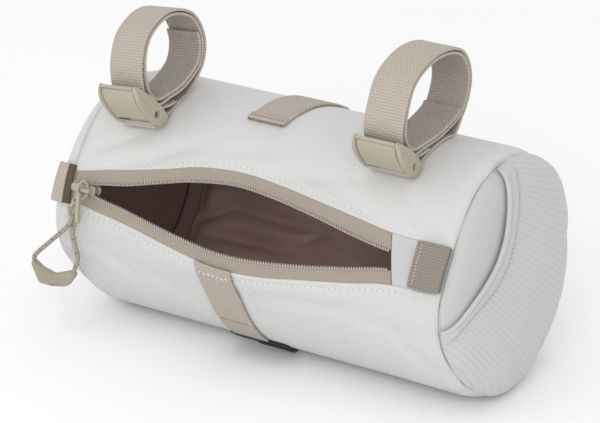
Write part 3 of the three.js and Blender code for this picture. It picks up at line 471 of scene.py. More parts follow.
def on_bag(x, bearing, depth, creased=0.0):
    """Point at a depth below the cloth's outer face, following the stray of the right seam."""
    shift = seam_stray(bearing) * smoothstep(SAG_FROM, SEAM, x)
    return on_tube(x + shift, bearing, bag_radius(x, bearing, creased) - depth)


def mouth(column, offset=0.0):
    """Bearing of one of the mouth's edges along the bag, with an offset in degrees."""
    return lambda x: table_value(MOUTH, column, x) + offset


def fixed(bearing):
    """A bearing that stays the same along the bag."""
    return lambda x: bearing + 0 * x


def spread(length):
    """Degrees that a length takes up round the tube."""
    return np.degrees(length / RADIUS)


# Meshes

def put_mesh(name, points, faces, uv=None, sharp=None):
    """Object from points in millimetres and lists of corners, with its faces pointing outwards."""
    points, faces = oriented(np.asarray(points, float).reshape(-1, 3), faces)
    mesh = bpy.data.meshes.new(name)
    mesh.from_pydata((points * MM).tolist(), [], faces)
    if uv is not None:
        corner = np.empty(len(mesh.loops), np.int32)
        mesh.loops.foreach_get("vertex_index", corner)
        layer = mesh.uv_layers.new(name="Cloth")
        layer.data.foreach_set("uv", np.asarray(uv, np.float32).reshape(-1, 2)[corner].ravel())
    mesh.polygons.foreach_set("use_smooth", np.ones(len(mesh.polygons), bool))
    if sharp is not None:
        mesh.set_sharp_from_angle(angle=np.radians(sharp))
    mesh.update()
    thing = bpy.data.objects.new(name, mesh)
    bpy.context.scene.collection.objects.link(thing)
    return thing


def change_place(piece, change):
    """Passes a piece's cloth coordinates through a function and puts them back."""
    layer = piece.data.uv_layers["Cloth"].data
    flat = np.empty(len(layer) * 2, np.float32)
    layer.foreach_get("uv", flat)
    layer.foreach_set("uv", np.ascontiguousarray(change(flat.reshape(-1, 2)), np.float32).ravel())


def grid_faces(rows, columns, wrap_rows=False, wrap_columns=False):
    """Quads between neighbouring points of a grid, closing round on itself where asked."""
    i = np.arange(rows if wrap_rows else rows - 1)[:, None]
    j = np.arange(columns if wrap_columns else columns - 1)[None, :]
    i2, j2 = (i + 1) % rows, (j + 1) % columns
    quads = np.stack([i * columns + j, i2 * columns + j, i2 * columns + j2, i * columns + j2], -1)
    return quads.reshape(-1, 4).tolist()


def band(name, surface, place, thick, along, across, rims=(0.01, 0.01)):
    """Closed sheet with round edges. A flat section, out along its face and back along its underside, is
    carried along the sheet. The function surface gives the point at (along, across, depth), and place
    gives its cloth coordinates."""
    rim_a, rim_c = rims
    face = np.linspace(rim_c, 1 - rim_c, across)
    edge = np.array([IN_RIM * rim_c, 0.0, IN_RIM * rim_c])
    c = np.concatenate([face, 1 - edge, face[::-1], edge])
    level = np.concatenate([np.zeros(across), TURNING, np.ones(across), TURNING[::-1]])
    run = np.linspace(rim_a, 1 - rim_a, along)
    a = np.concatenate([[0, IN_RIM * rim_a], run, [1 - IN_RIM * rim_a, 1]])
    squeeze = np.concatenate([SQUEEZED, np.ones(along), SQUEEZED[::-1]])
    grid_a, grid_c = np.meshgrid(a, c, indexing="ij")
    depth = thick * (0.5 + (level[None, :] - 0.5) * squeeze[:, None])
    points = surface(grid_a, grid_c, depth)
    rows, ring = grid_a.shape
    faces = grid_faces(rows, ring, wrap_columns=True)
    j = np.arange(across - 1)
    under = 2 * across + 2 - j
    far = np.arange(across - 1, across + 4)
    near = np.append(np.arange(2 * across + 2, ring), 0)
    for start in (0, (rows - 1) * ring):
        cap = np.stack([j, j + 1, under - 1, under], -1) + start
        ends = cap.tolist() + [(far + start).tolist(), (near + start).tolist()]
        faces += ends if start else [f[::-1] for f in ends]
    return put_mesh(name, points, faces, place(grid_a, grid_c))


def bag_band(name, ends, bearings, depths, along, across, creased=0.0, slants=(0, 0),
             rims=(0.006, 0.01), folds=None):
    """Sheet that follows the bag between two ends along X and two bearings that may change along it. Its
    folds, where it has them, fade out towards the bag's ends."""
    def where(a, c):
        start, end = (x + slant * (c - 0.5) for x, slant in zip(ends, slants))
        x = start + (end - start) * a
        low, high = bearings[0](x), bearings[1](x)
        return x, low + (high - low) * c

    def surface(a, c, depth):
        x, bearing = where(a, c)
        if folds is not None:
            depth = depth - bumps(folds, x, arc(bearing)) * smoothstep(*FOLDED, np.abs(x))
        return on_bag(x, bearing, depths[0] + depth, creased)

    def place(a, c):
        x, bearing = where(a, c)
        return np.stack([x, arc(bearing)], -1)

    return band(name, surface, place, depths[1] - depths[0], along, across, rims)


def round_piece(name, faces, places):
    """Closed round piece: rings from its middle out along its first face, and back along its second."""
    points, uv = (np.concatenate([out, back[::-1]]) for out, back in (faces, places))
    return put_mesh(name, points, grid_faces(*points.shape[:2], wrap_columns=True), uv)


def across_path(path, reference):
    """Two directions across a path: away from a reference direction, and square to both."""
    ahead = unit(np.gradient(path, axis=0))
    side = unit(np.cross(ahead, np.asarray(reference, float)))
    return side, np.cross(side, ahead)


def rope(name, path, radius, sides, reference=(0, 1, 0), closed=False):
    """Round section carried along a path, with its ends drawn in to a point unless it closes on itself."""
    side, up = across_path(path, reference)
    turn = np.linspace(0, 2 * np.pi, sides, endpoint=False)[None, :, None]
    reach = np.full(len(path), radius, float)
    if not closed:
        reach[[0, -1]] = 0.02 * radius
    ring = side[:, None] * np.cos(turn) + up[:, None] * np.sin(turn)
    points = path[:, None] + ring * reach[:, None, None]
    travelled = lengths(path)[:, None] + 0 * turn[..., 0]
    uv = np.stack([travelled, 0 * travelled + turn[..., 0] * radius], -1)
    return put_mesh(name, points, grid_faces(len(path), sides, wrap_rows=closed, wrap_columns=True), uv)


def rounded(outline, reach):
    """Outline with each corner replaced by a short parabola between points a reach along its two sides."""
    outline = np.asarray(outline, float)
    to_last, to_next = np.roll(outline, 1, 0) - outline, np.roll(outline, -1, 0) - outline
    back = outline + unit(to_last) * np.minimum(reach, 0.45 * np.linalg.norm(to_last, axis=1))[:, None]
    ahead = outline + unit(to_next) * np.minimum(reach, 0.45 * np.linalg.norm(to_next, axis=1))[:, None]
    t = np.linspace(0, 1, 5)[None, :, None]
    curve = back[:, None] * (1 - t) ** 2 + 2 * outline[:, None] * t * (1 - t) + ahead[:, None] * t * t
    return curve.reshape(-1, 2)


def inset(outline, amount):
    """Outline moved inwards by an amount, along the bisector of its sides."""
    ahead = unit(np.roll(outline, -1, 0) - outline)
    behind = unit(outline - np.roll(outline, 1, 0))
    bisector = unit(ahead + behind)
    normal = np.stack([-bisector[:, 1], bisector[:, 0]], -1)
    a, b = outline, np.roll(outline, -1, 0)
    turn = np.sign(np.sum(a[:, 0] * b[:, 1] - b[:, 0] * a[:, 1]))
    return outline + normal * amount * turn


def prism(outline, low, high, bevel, corner):
    """Points and faces of an outline carried from low to high, with rounded corners and bevelled ends."""
    shape = rounded(outline, corner)
    levels = [(low, bevel), (low + 0.3 * bevel, 0.3 * bevel), (low + bevel, 0)]
    levels += [(high - bevel, 0), (high - 0.3 * bevel, 0.3 * bevel), (high, bevel)]
    loops = [np.column_stack([inset(shape, amount), np.full(len(shape), level)]) for level, amount in levels]
    count = len(shape)
    faces = grid_faces(len(loops), count, wrap_columns=True)
    faces += [list(range(count))[::-1], list(range((len(loops) - 1) * count, len(loops) * count))]
    return oriented(np.concatenate(loops), faces)


def holed_prism(outline, hole, low, high, bevel, corner):
    """The same with a round hole at its origin: one closed section, in at the hole and out at the outline."""
    shape = rounded(outline, corner)
    rim = unit(shape) * hole
    section = [(rim, low + bevel), (rim * (1 + 0.3 * bevel / hole), low), (inset(shape, bevel), low)]
    section += [(inset(shape, 0.3 * bevel), low + 0.3 * bevel), (shape, low + bevel), (shape, high - bevel)]
    section += [(inset(shape, 0.3 * bevel), high - 0.3 * bevel), (inset(shape, bevel), high)]
    section += [(rim * (1 + 0.3 * bevel / hole), high), (rim, high - bevel)]
    loops = [np.column_stack([flat, np.full(len(shape), level)]) for flat, level in section]
    faces = grid_faces(len(loops), len(shape), wrap_rows=True, wrap_columns=True)
    return oriented(np.concatenate(loops), faces)


def oriented(points, faces):
    """Points and faces of one closed body, with the faces pointing outwards."""
    quads = np.array([f for f in faces if len(f) == 4])
    a, b, c, d = (points[quads[:, k]] - points.mean(0) for k in range(4))
    flipped = np.sum(a * np.cross(b, c)) + np.sum(a * np.cross(c, d)) < 0
    return points, [f[::-1] for f in faces] if flipped else faces


def gathered(bodies):
    """Several closed bodies as one list of points and one list of faces."""
    points, faces, start = [], [], 0
    for body_points, body_faces in bodies:
        points.append(body_points)
        faces += [[corner + start for corner in face] for face in body_faces]
        start += len(body_points)
    return np.concatenate(points), faces


def dress(piece, finish, slot, *nodes, body=BAG_BODY):
    """Gives a piece its finish and its body, and hides the solids that it stands for. The slot is not used.
    """
    piece.data.materials.clear()
    piece.data.materials.append(material_for(finish))
    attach(piece, body)
    if nodes:
        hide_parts(*nodes)
    return piece


def add_finish(piece, finish, chosen):
    """Gives a folded band a second finish, on the faces that are chosen by their row and column."""
    faces = piece.data.polygons
    row, column = np.divmod(np.arange(len(faces)), 2 * FOLDED_COLUMNS + BAND_EDGES)
    piece.data.materials.append(material_for(finish))
    faces.foreach_set("material_index", chosen(row, column).astype(np.int32))


# Shader groups

def put(tree, kind, *inputs, **settings):
    """Node with its settings, and with each input linked or set in order."""
    node = tree.nodes.new(kind)
    for key, value in settings.items():
        setattr(node, key, value)
    for socket, value in zip(node.inputs, inputs):
        if isinstance(value, bpy.types.NodeSocket):
            tree.links.new(value, socket)
        elif value is not None:
            socket.default_value = value
    return node


def calc(tree, operation, *inputs):
    """Value of a maths node."""
    return put(tree, "ShaderNodeMath", *inputs, operation=operation).outputs[0]


def between(tree, mask, low, high):
    """Value between two values by a mask."""
    return put(tree, "ShaderNodeMix", mask, None, low, high, data_type="FLOAT").outputs[0]


def wave(tree, value, pitch):
    """Sine that changes sign once in each pitch."""
    return calc(tree, "SINE", calc(tree, "MULTIPLY", calc(tree, "DIVIDE", value, pitch), float(np.pi)))


def build_woven(tree, ins):
    """Threads over and under: the product of two sines for a plain weave, or mostly the sine of their
    sum for a twill. The gaps are the square of the depth below the threads' tops."""
    split = put(tree, "ShaderNodeSeparateXYZ", ins["Place"]).outputs
    ways = (split[0], ins["Pitch along"]), (split[1], ins["Pitch across"])
    plain = calc(tree, "MULTIPLY", *(wave(tree, *way) for way in ways))
    twill = wave(tree, calc(tree, "ADD", *(calc(tree, "DIVIDE", *way) for way in ways)), 1.0)
    twill = calc(tree, "MULTIPLY_ADD", twill, 0.85, calc(tree, "MULTIPLY", plain, 0.15))
    height = calc(tree, "MULTIPLY_ADD", between(tree, ins["Twill"], plain, twill), 0.5, 0.5)
    # Gap shade: the depth below the threads' tops, which the materials paint as shade between the threads
    return height, calc(tree, "POWER", calc(tree, "SUBTRACT", 1.0, height), 2.0)


def build_ribs(tree, ins):
    """Webbing: rows of beads, each row shifted by half a bead from the next, or in line with it where
    Even is one. The gaps are a power of the depth below the beads' tops."""
    split = put(tree, "ShaderNodeSeparateXYZ", ins["Place"]).outputs
    row, bead = wave(tree, split[0], ins["Row"]), wave(tree, split[1], ins["Bead"])
    shifted = calc(tree, "MULTIPLY", row, bead)
    in_line = calc(tree, "MULTIPLY_ADD", calc(tree, "ABSOLUTE", bead), 2.0, -1.0)
    knot = calc(tree, "MULTIPLY_ADD", between(tree, ins["Even"], shifted, in_line), 0.42, 0.58)
    rib = calc(tree, "POWER", calc(tree, "ABSOLUTE", row), 0.6)
    height = calc(tree, "MULTIPLY", rib, knot)
    # Gap shade: the depth below the beads' tops, which the materials paint as shade between the beads
    return height, calc(tree, "POWER", calc(tree, "SUBTRACT", 1.0, height), 2.2)


def build_mottle(tree, ins):
    """Slow soft variation over a surface, and fine grain: noise of two sizes."""
    made = []
    for size, detail in (("Broad", 3.0), ("Fine", 2.0)):
        noise = put(tree, "ShaderNodeTexNoise", ins["Place"])
        tree.links.new(ins[size], noise.inputs["Scale"])
        noise.inputs["Detail"].default_value = detail
        made.append(noise.outputs[0])
    return made


def build_dots(tree, ins):
    """Rows of small holes: a dot that is one at the middle of each cell of a grid and falls to zero at
    its size. The rib is the share of a row away from its middle."""
    split = put(tree, "ShaderNodeSeparateXYZ", ins["Place"]).outputs

    def offset(value, pitch):
        cell = calc(tree, "FRACT", calc(tree, "DIVIDE", value, pitch))
        return calc(tree, "MULTIPLY", calc(tree, "SUBTRACT", cell, 0.5), pitch)

    across, along = offset(split[0], ins["Row"]), offset(split[1], ins["Step"])
    squares = calc(tree, "MULTIPLY_ADD", across, across, calc(tree, "MULTIPLY", along, along))
    far = calc(tree, "DIVIDE", calc(tree, "SQRT", squares), ins["Size"])
    dot = put(tree, "ShaderNodeClamp", calc(tree, "SUBTRACT", 1.0, far)).outputs[0]
    return dot, calc(tree, "ABSOLUTE", calc(tree, "DIVIDE", across, ins["Row"]))


GROUPS = {
    "Woven threads": (
        build_woven, {"Pitch along": 1.0, "Pitch across": 1.0, "Twill": 0.0}, ("Height", "Gap shade"),
    ),
    "Webbing ribs": (build_ribs, {"Row": 1.0, "Bead": 0.65, "Even": 0.0}, ("Height", "Gap shade")),
    "Mottle": (build_mottle, {"Broad": 30.0, "Fine": 900.0}, ("Cloud", "Grain")),
    "Dotted rows": (build_dots, {"Row": 3.0, "Step": 1.3, "Size": 0.4}, ("Dot", "Rib")),
}


def shader_group(name):
    """The shader group of that name, made when it is first asked for."""
    if name in bpy.data.node_groups:
        return bpy.data.node_groups[name]
    build, values, results = GROUPS[name]
    tree = bpy.data.node_groups.new(name, "ShaderNodeTree")
    tree.interface.new_socket("Place", in_out="INPUT", socket_type="NodeSocketVector")
    for label, value in values.items():
        socket = tree.interface.new_socket(label, in_out="INPUT", socket_type="NodeSocketFloat")
        socket.default_value = value
    for label in results:
        tree.interface.new_socket(label, in_out="OUTPUT", socket_type="NodeSocketFloat")
    made = build(tree, tree.nodes.new("NodeGroupInput").outputs)
    ends = tree.nodes.new("NodeGroupOutput").inputs
    for label, value in zip(results, made):
        tree.links.new(value, ends[label])
    return tree


# Materials

def new_material(name, roughness, sheen=0.1, specular=0.3):
    """Material with a principled shader, its plain values set on the shader itself."""
    material = bpy.data.materials.new(name)
    material.use_nodes = True
    tree = material.node_tree
    shader = tree.nodes["Principled BSDF"].inputs
    shader["Roughness"].default_value = roughness
    shader["Specular IOR Level"].default_value = specular
    shader["Sheen Weight"].default_value = sheen
    shader["Sheen Roughness"].default_value = 0.5
    return tree, shader


def cloth_place(tree):
    """Cloth coordinates in millimetres."""
    return put(tree, "ShaderNodeUVMap", uv_map="Cloth").outputs[0]


def use_group(tree, name, place, **values):
    """A shader group placed in a material with its own values."""
    node = put(tree, "ShaderNodeGroup", node_tree=shader_group(name))
    tree.links.new(place, node.inputs["Place"])
    for label, value in values.items():
        node.inputs[label.replace("_", " ")].default_value = value
    return node.outputs


def mottled(tree, broad, fine):
    """Cloud and grain over the object's coordinates, in metres."""
    place = put(tree, "ShaderNodeTexCoord").outputs["Object"]
    return use_group(tree, "Mottle", place, Broad=broad, Fine=fine)


def woven(tree, place, along, across, twill):
    """Height and gaps of woven threads."""
    return use_group(tree, "Woven threads", place, Pitch_along=along, Pitch_across=across, Twill=twill)


def dotted(tree, place, row, step, size):
    """Dots and ribs of rows of small holes."""
    return use_group(tree, "Dotted rows", place, Row=row, Step=step, Size=size)


def tint(tree, mask, colour, low, high):
    """Colour between a darker and a lighter shade by a mask."""
    node = put(tree, "ShaderNodeMix", mask, data_type="RGBA")
    node.inputs[6].default_value = (*shade(colour, low), 1)
    node.inputs[7].default_value = (*shade(colour, high), 1)
    return node.outputs[2]


def blend(tree, mask, share, base, other):
    """A colour socket turned towards a plain colour by a share of a mask."""
    node = put(tree, "ShaderNodeMix", calc(tree, "MULTIPLY", mask, share), data_type="RGBA")
    tree.links.new(base, node.inputs[6])
    node.inputs[7].default_value = (*other, 1)
    return node.outputs[2]


def finish_with(tree, shader, colour, height, distance, strength):
    """Links a colour to the shader, and a bump from a height to its normal."""
    tree.links.new(colour, shader["Base Color"])
    node = put(tree, "ShaderNodeBump")
    node.inputs["Strength"].default_value = strength
    node.inputs["Distance"].default_value = distance
    tree.links.new(height, node.inputs["Height"])
    tree.links.new(node.outputs[0], shader["Normal"])


def shade(colour, factor):
    """A colour made darker or lighter."""
    return tuple(min(1.0, channel * factor) for channel in colour)


def canvas_material(name, colour, pitch, twill):
    """Woven canvas: pale threads with painted shade in the gaps between them, soft broad variation."""
    tree, shader = new_material(name, 0.82, sheen=0.15)
    threads = woven(tree, cloth_place(tree), pitch, pitch, twill)
    mottle = mottled(tree, 22.0, 1500.0)
    base = tint(tree, mottle["Cloud"], colour, 0.965, 1.02)
    base = blend(tree, threads["Gap shade"], 0.55, base, shade(colour, 0.80))
    height = calc(tree, "MULTIPLY_ADD", mottle["Grain"], 0.35, threads["Height"])
    finish_with(tree, shader, base, height, 0.00022, 0.4 + 0.3 * twill)


def stretch_material(name, colour):
    """Stretch cloth with rows of small holes, painted darker as the shade in them, and a fine knit."""
    tree, shader = new_material(name, 0.75, sheen=0.2)
    place = cloth_place(tree)
    dots = dotted(tree, place, 2.35, 1.15, 0.44)
    knit = woven(tree, place, 0.5, 0.5, 0.0)
    mottle = mottled(tree, 26.0, 1400.0)
    base = tint(tree, mottle["Cloud"], colour, 0.96, 1.02)
    # The holes are darkened: painted shade in them
    base = blend(tree, dots["Dot"], 0.6, base, shade(colour, 0.6))
    height = calc(tree, "SUBTRACT", calc(tree, "MULTIPLY", dots["Rib"], 0.3), dots["Dot"])
    height = calc(tree, "MULTIPLY_ADD", knit["Height"], 0.2, height)
    finish_with(tree, shader, base, height, 0.00011, 0.6)


def webbing_material(name, colour, row, bead, even=0.0):
    """Woven webbing: rows of beads with painted shade in the gaps between them."""
    tree, shader = new_material(name, 0.8, sheen=0.12)
    ribs = use_group(tree, "Webbing ribs", cloth_place(tree), Row=row, Bead=bead, Even=even)
    mottle = mottled(tree, 60.0, 1800.0)
    base = tint(tree, mottle["Grain"], colour, 0.9, 1.1)
    base = blend(tree, ribs["Gap shade"], 0.75, base, shade(colour, 0.5))
    height = calc(tree, "MULTIPLY_ADD", mottle["Grain"], 0.2, ribs["Height"])
    finish_with(tree, shader, base, height, 0.00036, 0.8)


def tape_material(name, colour):
    """Zip tape: a fine weave with painted shade between its threads, and sewn dashes beside the teeth on a
    band darkened as painted shadow.
    """
    tree, shader = new_material(name, 0.8)
    place = cloth_place(tree)
    threads = woven(tree, place, 0.45, 0.45, 1.0)
    dots = dotted(tree, place, 1.35, 1.25, 0.62)
    from_teeth = put(tree, "ShaderNodeSeparateXYZ", place).outputs[1]
    near = calc(tree, "LESS_THAN", from_teeth, 2.5)
    base = tint(tree, mottled(tree, 60.0, 1800.0)["Grain"], colour, 0.93, 1.06)
    base = blend(tree, threads["Gap shade"], 0.3, base, shade(colour, 0.7))
    # Band beside the teeth darkened: painted shadow around the sewn dashes
    base = blend(tree, near, 0.6, base, shade(colour, 0.86))
    dash = calc(tree, "MULTIPLY", calc(tree, "MULTIPLY", dots["Dot"], near), 1.6)
    dash = put(tree, "ShaderNodeClamp", dash).outputs[0]
    base = blend(tree, dash, 1.0, base, shade(colour, 1.2))
    height = calc(tree, "MULTIPLY_ADD", threads["Height"], 0.4, dash)
    finish_with(tree, shader, base, height, 0.0004, 0.7)


def lining_material(name, colour):
    """Coated lining: smooth, a little glossy, with fine threads, painted shade between them, and soft folds.
    """
    tree, shader = new_material(name, 0.42, sheen=0.08, specular=0.45)
    threads = woven(tree, cloth_place(tree), 0.4, 0.4, 0.0)
    cloud = mottled(tree, 38.0, 900.0)["Cloud"]
    base = tint(tree, cloud, colour, 0.86, 1.12)
    base = blend(tree, threads["Gap shade"], 0.3, base, shade(colour, 0.75))
    height = calc(tree, "MULTIPLY_ADD", cloud, 9.0, calc(tree, "MULTIPLY", threads["Height"], 0.2))
    finish_with(tree, shader, base, height, 0.0004, 0.5)


def moulded_material(name, colour, roughness, grain):
    """Moulded plastic or rubber: even colour, fine grain, slight change of gloss."""
    tree, shader = new_material(name, roughness, sheen=0.0, specular=0.45)
    mottle = mottled(tree, 70.0, 2600.0)
    base = tint(tree, mottle["Cloud"], colour, 0.95, 1.05)
    gloss = calc(tree, "MULTIPLY_ADD", mottle["Cloud"], 0.16, roughness - 0.08)
    tree.links.new(gloss, shader["Roughness"])
    finish_with(tree, shader, base, mottle["Grain"], grain, 0.6)


def cord_material(name, colour):
    """Braided cord: crossing strands with painted shade between them, and a few dark flecks."""
    tree, shader = new_material(name, 0.8)
    place = cloth_place(tree)
    threads = woven(tree, place, 0.9, 0.86, 0.3)
    flecks = calc(tree, "GREATER_THAN", dotted(tree, place, 7.0, 3.455, 0.72)["Dot"], 0.35)
    base = tint(tree, mottled(tree, 120.0, 1800.0)["Grain"], colour, 0.9, 1.12)
    base = blend(tree, threads["Gap shade"], 0.6, base, shade(colour, 0.55))
    base = blend(tree, flecks, 1.0, base, FLECK_COLOUR)
    finish_with(tree, shader, base, threads["Height"], 0.0003, 0.7)


def thread_material(name, colour):
    """Sewing thread: a fine twist along each stitch."""
    tree, shader = new_material(name, 0.75)
    grain = mottled(tree, 300.0, 3000.0)["Grain"]
    finish_with(tree, shader, tint(tree, grain, colour, 0.85, 1.1), grain, 0.00005, 0.5)


def finishes():
    """Each finish: its maker, its colour, a factor on that colour, and the maker's other values."""
    colours, sizes = bpy.context.scene.bag_colours, bpy.context.scene.bag_sizes
    weave, row, bead = (size / MM for size in (sizes.weave_pitch, sizes.rib_pitch, sizes.bead_pitch))
    return {
        "canvas_plain": (canvas_material, colours.canvas, 1, weave, 0.0),
        "canvas_twill": (canvas_material, colours.canvas, 1, weave * 1.08, 1.0),
        # Darker, finer canvas of the pocket's hem, the end seams and the right end; on the panel beside the
        # zip's end it is painted shade
        "canvas_hem": (canvas_material, colours.stretch, 1, weave * 0.7, 0.0),
        "stretch": (stretch_material, colours.stretch, 1),
        "webbing": (webbing_material, colours.webbing, 1, row, bead),
        # A darker copy of the webbing: painted shade on the straps' inner faces
        "webbing_inner": (webbing_material, colours.webbing, 0.74, row, bead),
        "webbing_fine": (webbing_material, colours.webbing, 0.95, row * 0.86, bead * 0.92),
        "webbing_dark": (webbing_material, colours.webbing, 0.57, row * 0.9, row * 0.95, 1.0),
        # Dark brown: painted shadow on the left tab beside its seam
        "webbing_seam": (webbing_material, colours.webbing_seam, 1, row, bead),
        "zip_tape": (tape_material, colours.tape, 1),
        "zip_teeth": (moulded_material, colours.teeth, 1, 0.45, 0.00004),
        "lining": (lining_material, colours.lining, 1),
        "lining_end": (lining_material, colours.lining, 0.8),
        "lining_dark": (webbing_material, colours.lining, 0.85, 1.0, 0.7),
        "plastic": (moulded_material, colours.plastic, 1, 0.5, 0.00005),
        "clip": (moulded_material, colours.cord, 0.9, 0.5, 0.00005),
        "rubber": (moulded_material, colours.patch, 1, 0.6, 0.00012),
        "cord": (cord_material, colours.cord, 1),
        "thread_white": (thread_material, colours.thread, 1),
        "thread_grey": (thread_material, colours.thread, 0.6),
        # Near-black dots: painted shade of the needle holes
        "thread_dark": (thread_material, colours.thread, 0.25),
        "thread_brown": (thread_material, colours.thread_brown, 1),
        "thread_beige": (thread_material, colours.webbing, 1.15),
    }


def material_for(finish):
    """The material of a finish, made when it is first asked for."""
    name = f"bag_{finish}"
    if name not in bpy.data.materials:
        make, colour, factor, *values = finishes()[finish]
        make(name, shade(colour, factor), *values)
    return bpy.data.materials[name]


# Pieces

def make_panels():
    """Three cloth panels: over the top and back, round the front and underside, beside the zip's end."""
    half = spread(GAP / 2)
    ends, depths = (-SEAM, SEAM), (0, CLOTH)
    top = bag_band("cloth_top", ends, (mouth(UPPER_CLOTH, -half), fixed(REAR_SEAM - 360 + half)), depths,
                   along=150, across=170, creased=CREASED, rims=(0.006, 0.004))
    front = bag_band("cloth_front", ends, (mouth(LOWER_CLOTH, half), fixed(REAR_SEAM - half)), depths,
                     along=150, across=110, creased=CREASED, rims=(0.006, 0.006))
    edges = mouth(UPPER_CLOTH, -half * 3), mouth(LOWER_CLOTH, half * 3)
    beside_zip = bag_band("cloth_beside_zip", (ZIP_END_X, SEAM), edges, (TAPE_DEPTH, CLOTH),
                          along=24, across=20, slants=(ZIP_END_SLANT, 0), rims=(0.03, 0.03))
    dress(top, "canvas_plain", "canvas", "top_panel")
    dress(front, "canvas_twill", "canvas", "front_panel")
    # The panel beside the zip's end gets the darker canvas as painted shade of its recess
    dress(beside_zip, "canvas_hem", "canvas", "zip_end_panel")
    declare_cloth(top)
    declare_cloth(front)


def declare_cloth(piece):
    """Reads the areas of a sewn sheet's faces, and does nothing more with them. A sheet's mesh has two faces,
    so its area is half of the mesh's."""
    mesh = piece.data
    areas = np.empty(len(mesh.polygons))
    mesh.polygons.foreach_get("area", areas)


def dome_height(out, radius, bulge, fullness=CAP_FULLNESS):
    """Height of a round end: a superellipse from its rim to its middle."""
    return bulge * np.maximum(1 - np.clip(out / radius, 0, 1) ** fullness, 0) ** (1 / fullness)


def on_dome(side, bearing, out, radius, bulge, lift=0.0, fullness=CAP_FULLNESS):
    """Point on a round end, at a bearing and a distance out from the bag's axis."""
    sag = seam_stray(bearing) * np.minimum(out / radius, 1) if side > 0 else 0.0
    height = SEAM + SEAM_GAP + dome_height(out, radius, bulge, fullness) + lift
    return on_tube(side * height + sag, bearing, out)


def end_plane(bearing, out):
    """Place on an end seen square on: across the pocket's mouth, and towards it."""
    turn = np.radians(bearing - POCKET_BEARING)
    return -out * np.sin(turn), out * np.cos(turn)


def round_end(name, side, shown, bulge, fullness, swell=0.0):
    """Domed end: its outer profile from middle to rim and its inner profile back, turned about the bag's
    axis. Its rim widens over the bearings where it shows. A swell lifts it near the rim at the front and
    lets it down at the back."""
    sweep = np.sin(np.linspace(0, 1, 40) * np.pi / 2) ** (2 / fullness)
    sweep = np.maximum(sweep, 1e-3)[:, None]
    bearing = np.linspace(-180, 180, 180, endpoint=False)[None, :]
    widened = smoothstep(*shown[:2], bearing) * smoothstep(*shown[:1:-1], bearing)
    lean = swell * (bell(bearing, *SWELL_AT) - SWELL_LOWERED) * sweep ** 2
    faces, places = [], []
    for depth in (0, CLOTH):
        radius = CAP_RADIUS + CAP_WIDER * widened - depth
        out = sweep * radius
        faces.append(on_dome(side, bearing, out, radius, bulge + lean - depth, fullness=fullness))
        places.append(np.stack(end_plane(bearing, out), -1))
    return round_piece(name, faces, places)


def make_ends():
    """The two round cloth ends, and the corded seams round them."""
    left = round_end("end_left", -1, LEFT_SHOWN, LEFT_BULGE, LEFT_FULLNESS, swell=LEFT_SWELL)
    right = round_end("end_right", 1, RIGHT_SHOWN, RIGHT_BULGE + CAP_FILL, CAP_FULLNESS)
    dress(left, "canvas_plain", "canvas", "end_cap_left")
    dress(right, "canvas_hem", "canvas", "end_cap_right")
    bearing = np.linspace(0, 360, 240, endpoint=False)
    rows = (("left", -1, 0.0, LEFT_CORD_DEPTH), ("right", 1, seam_stray(bearing), RIGHT_CORD_DEPTH))
    for side, sign, stray, depth in rows:
        radius = np.minimum(RADIUS - SHOULDER_DROP - depth, flat_limit(bearing, 1.0))
        path = on_tube(sign * (SEAM + 0.25) + stray, bearing, radius)
        seam = rope(f"end_seam_{side}", path, SEAM_CORD, 8, reference=(1, 0, 0), closed=True)
        dress(seam, "canvas_hem", "canvas")


def hem_line(turn, inset_by):
    """Distance from the end's middle to the pocket's mouth at a turn from the mouth's own direction. The
    place across the mouth depends on that distance, so it is found by going round a few times. The hem
    narrows towards the mouth's rear end."""
    out = np.full(turn.shape, HEM_GUESS)
    inset_by = inset_by * (1 - HEM_NARROWER * smoothstep(*HEM_NARROWS, -turn))
    for _ in range(HEM_ROUNDS):
        out = (table_value(HEM, 1, out * np.sin(turn)) - inset_by) / np.maximum(np.cos(turn), 0.2)
    return out


def pocket_cloth(radius, bulge):
    """The pocket: its outer face from the end's middle out to the rim or the hem, and its inner face
    back. Its dents fade out at the rim, which stands out unevenly. Its rows of holes fan out."""
    turn = np.linspace(-np.pi, np.pi, 280, endpoint=False)[None, :]
    bearing = POCKET_BEARING - np.degrees(turn)
    to_hem = np.minimum(hem_line(turn, HEM_WIDTH + GAP), radius)
    reach = np.where(np.cos(turn) > HEM_SIDE, to_hem, radius)
    sweep = np.sin(np.linspace(0, 1, 60) * np.pi / 2)[:, None] ** (2 / CAP_FULLNESS)
    out = np.maximum(sweep, 1e-3) * reach
    share = out / radius
    across, towards = end_plane(bearing, out)
    dents = bumps(POCKET_DENTS, across, towards) * smoothstep(*DENTS_FADE, share)
    stands = table_value(POCKET_RIM, 1, np.mod(bearing + 180, 360) - 180) * bell(share, *RIM_AT)
    uneven = on_tube(0.0, bearing, stands) - np.array([0, 0, AXIS])
    outer = on_dome(1, bearing, out, radius, bulge, dents)
    under = out * (1 - POCKET_THICK / radius * share ** 8)
    inner = on_dome(1, bearing, under, radius - POCKET_THICK, bulge - POCKET_THICK, dents)
    flat = np.stack([across / (1 + FAN * (FAN_FROM - towards)), towards], -1)
    return round_piece("pocket_cloth", (outer + uneven, inner + uneven), (flat, flat))


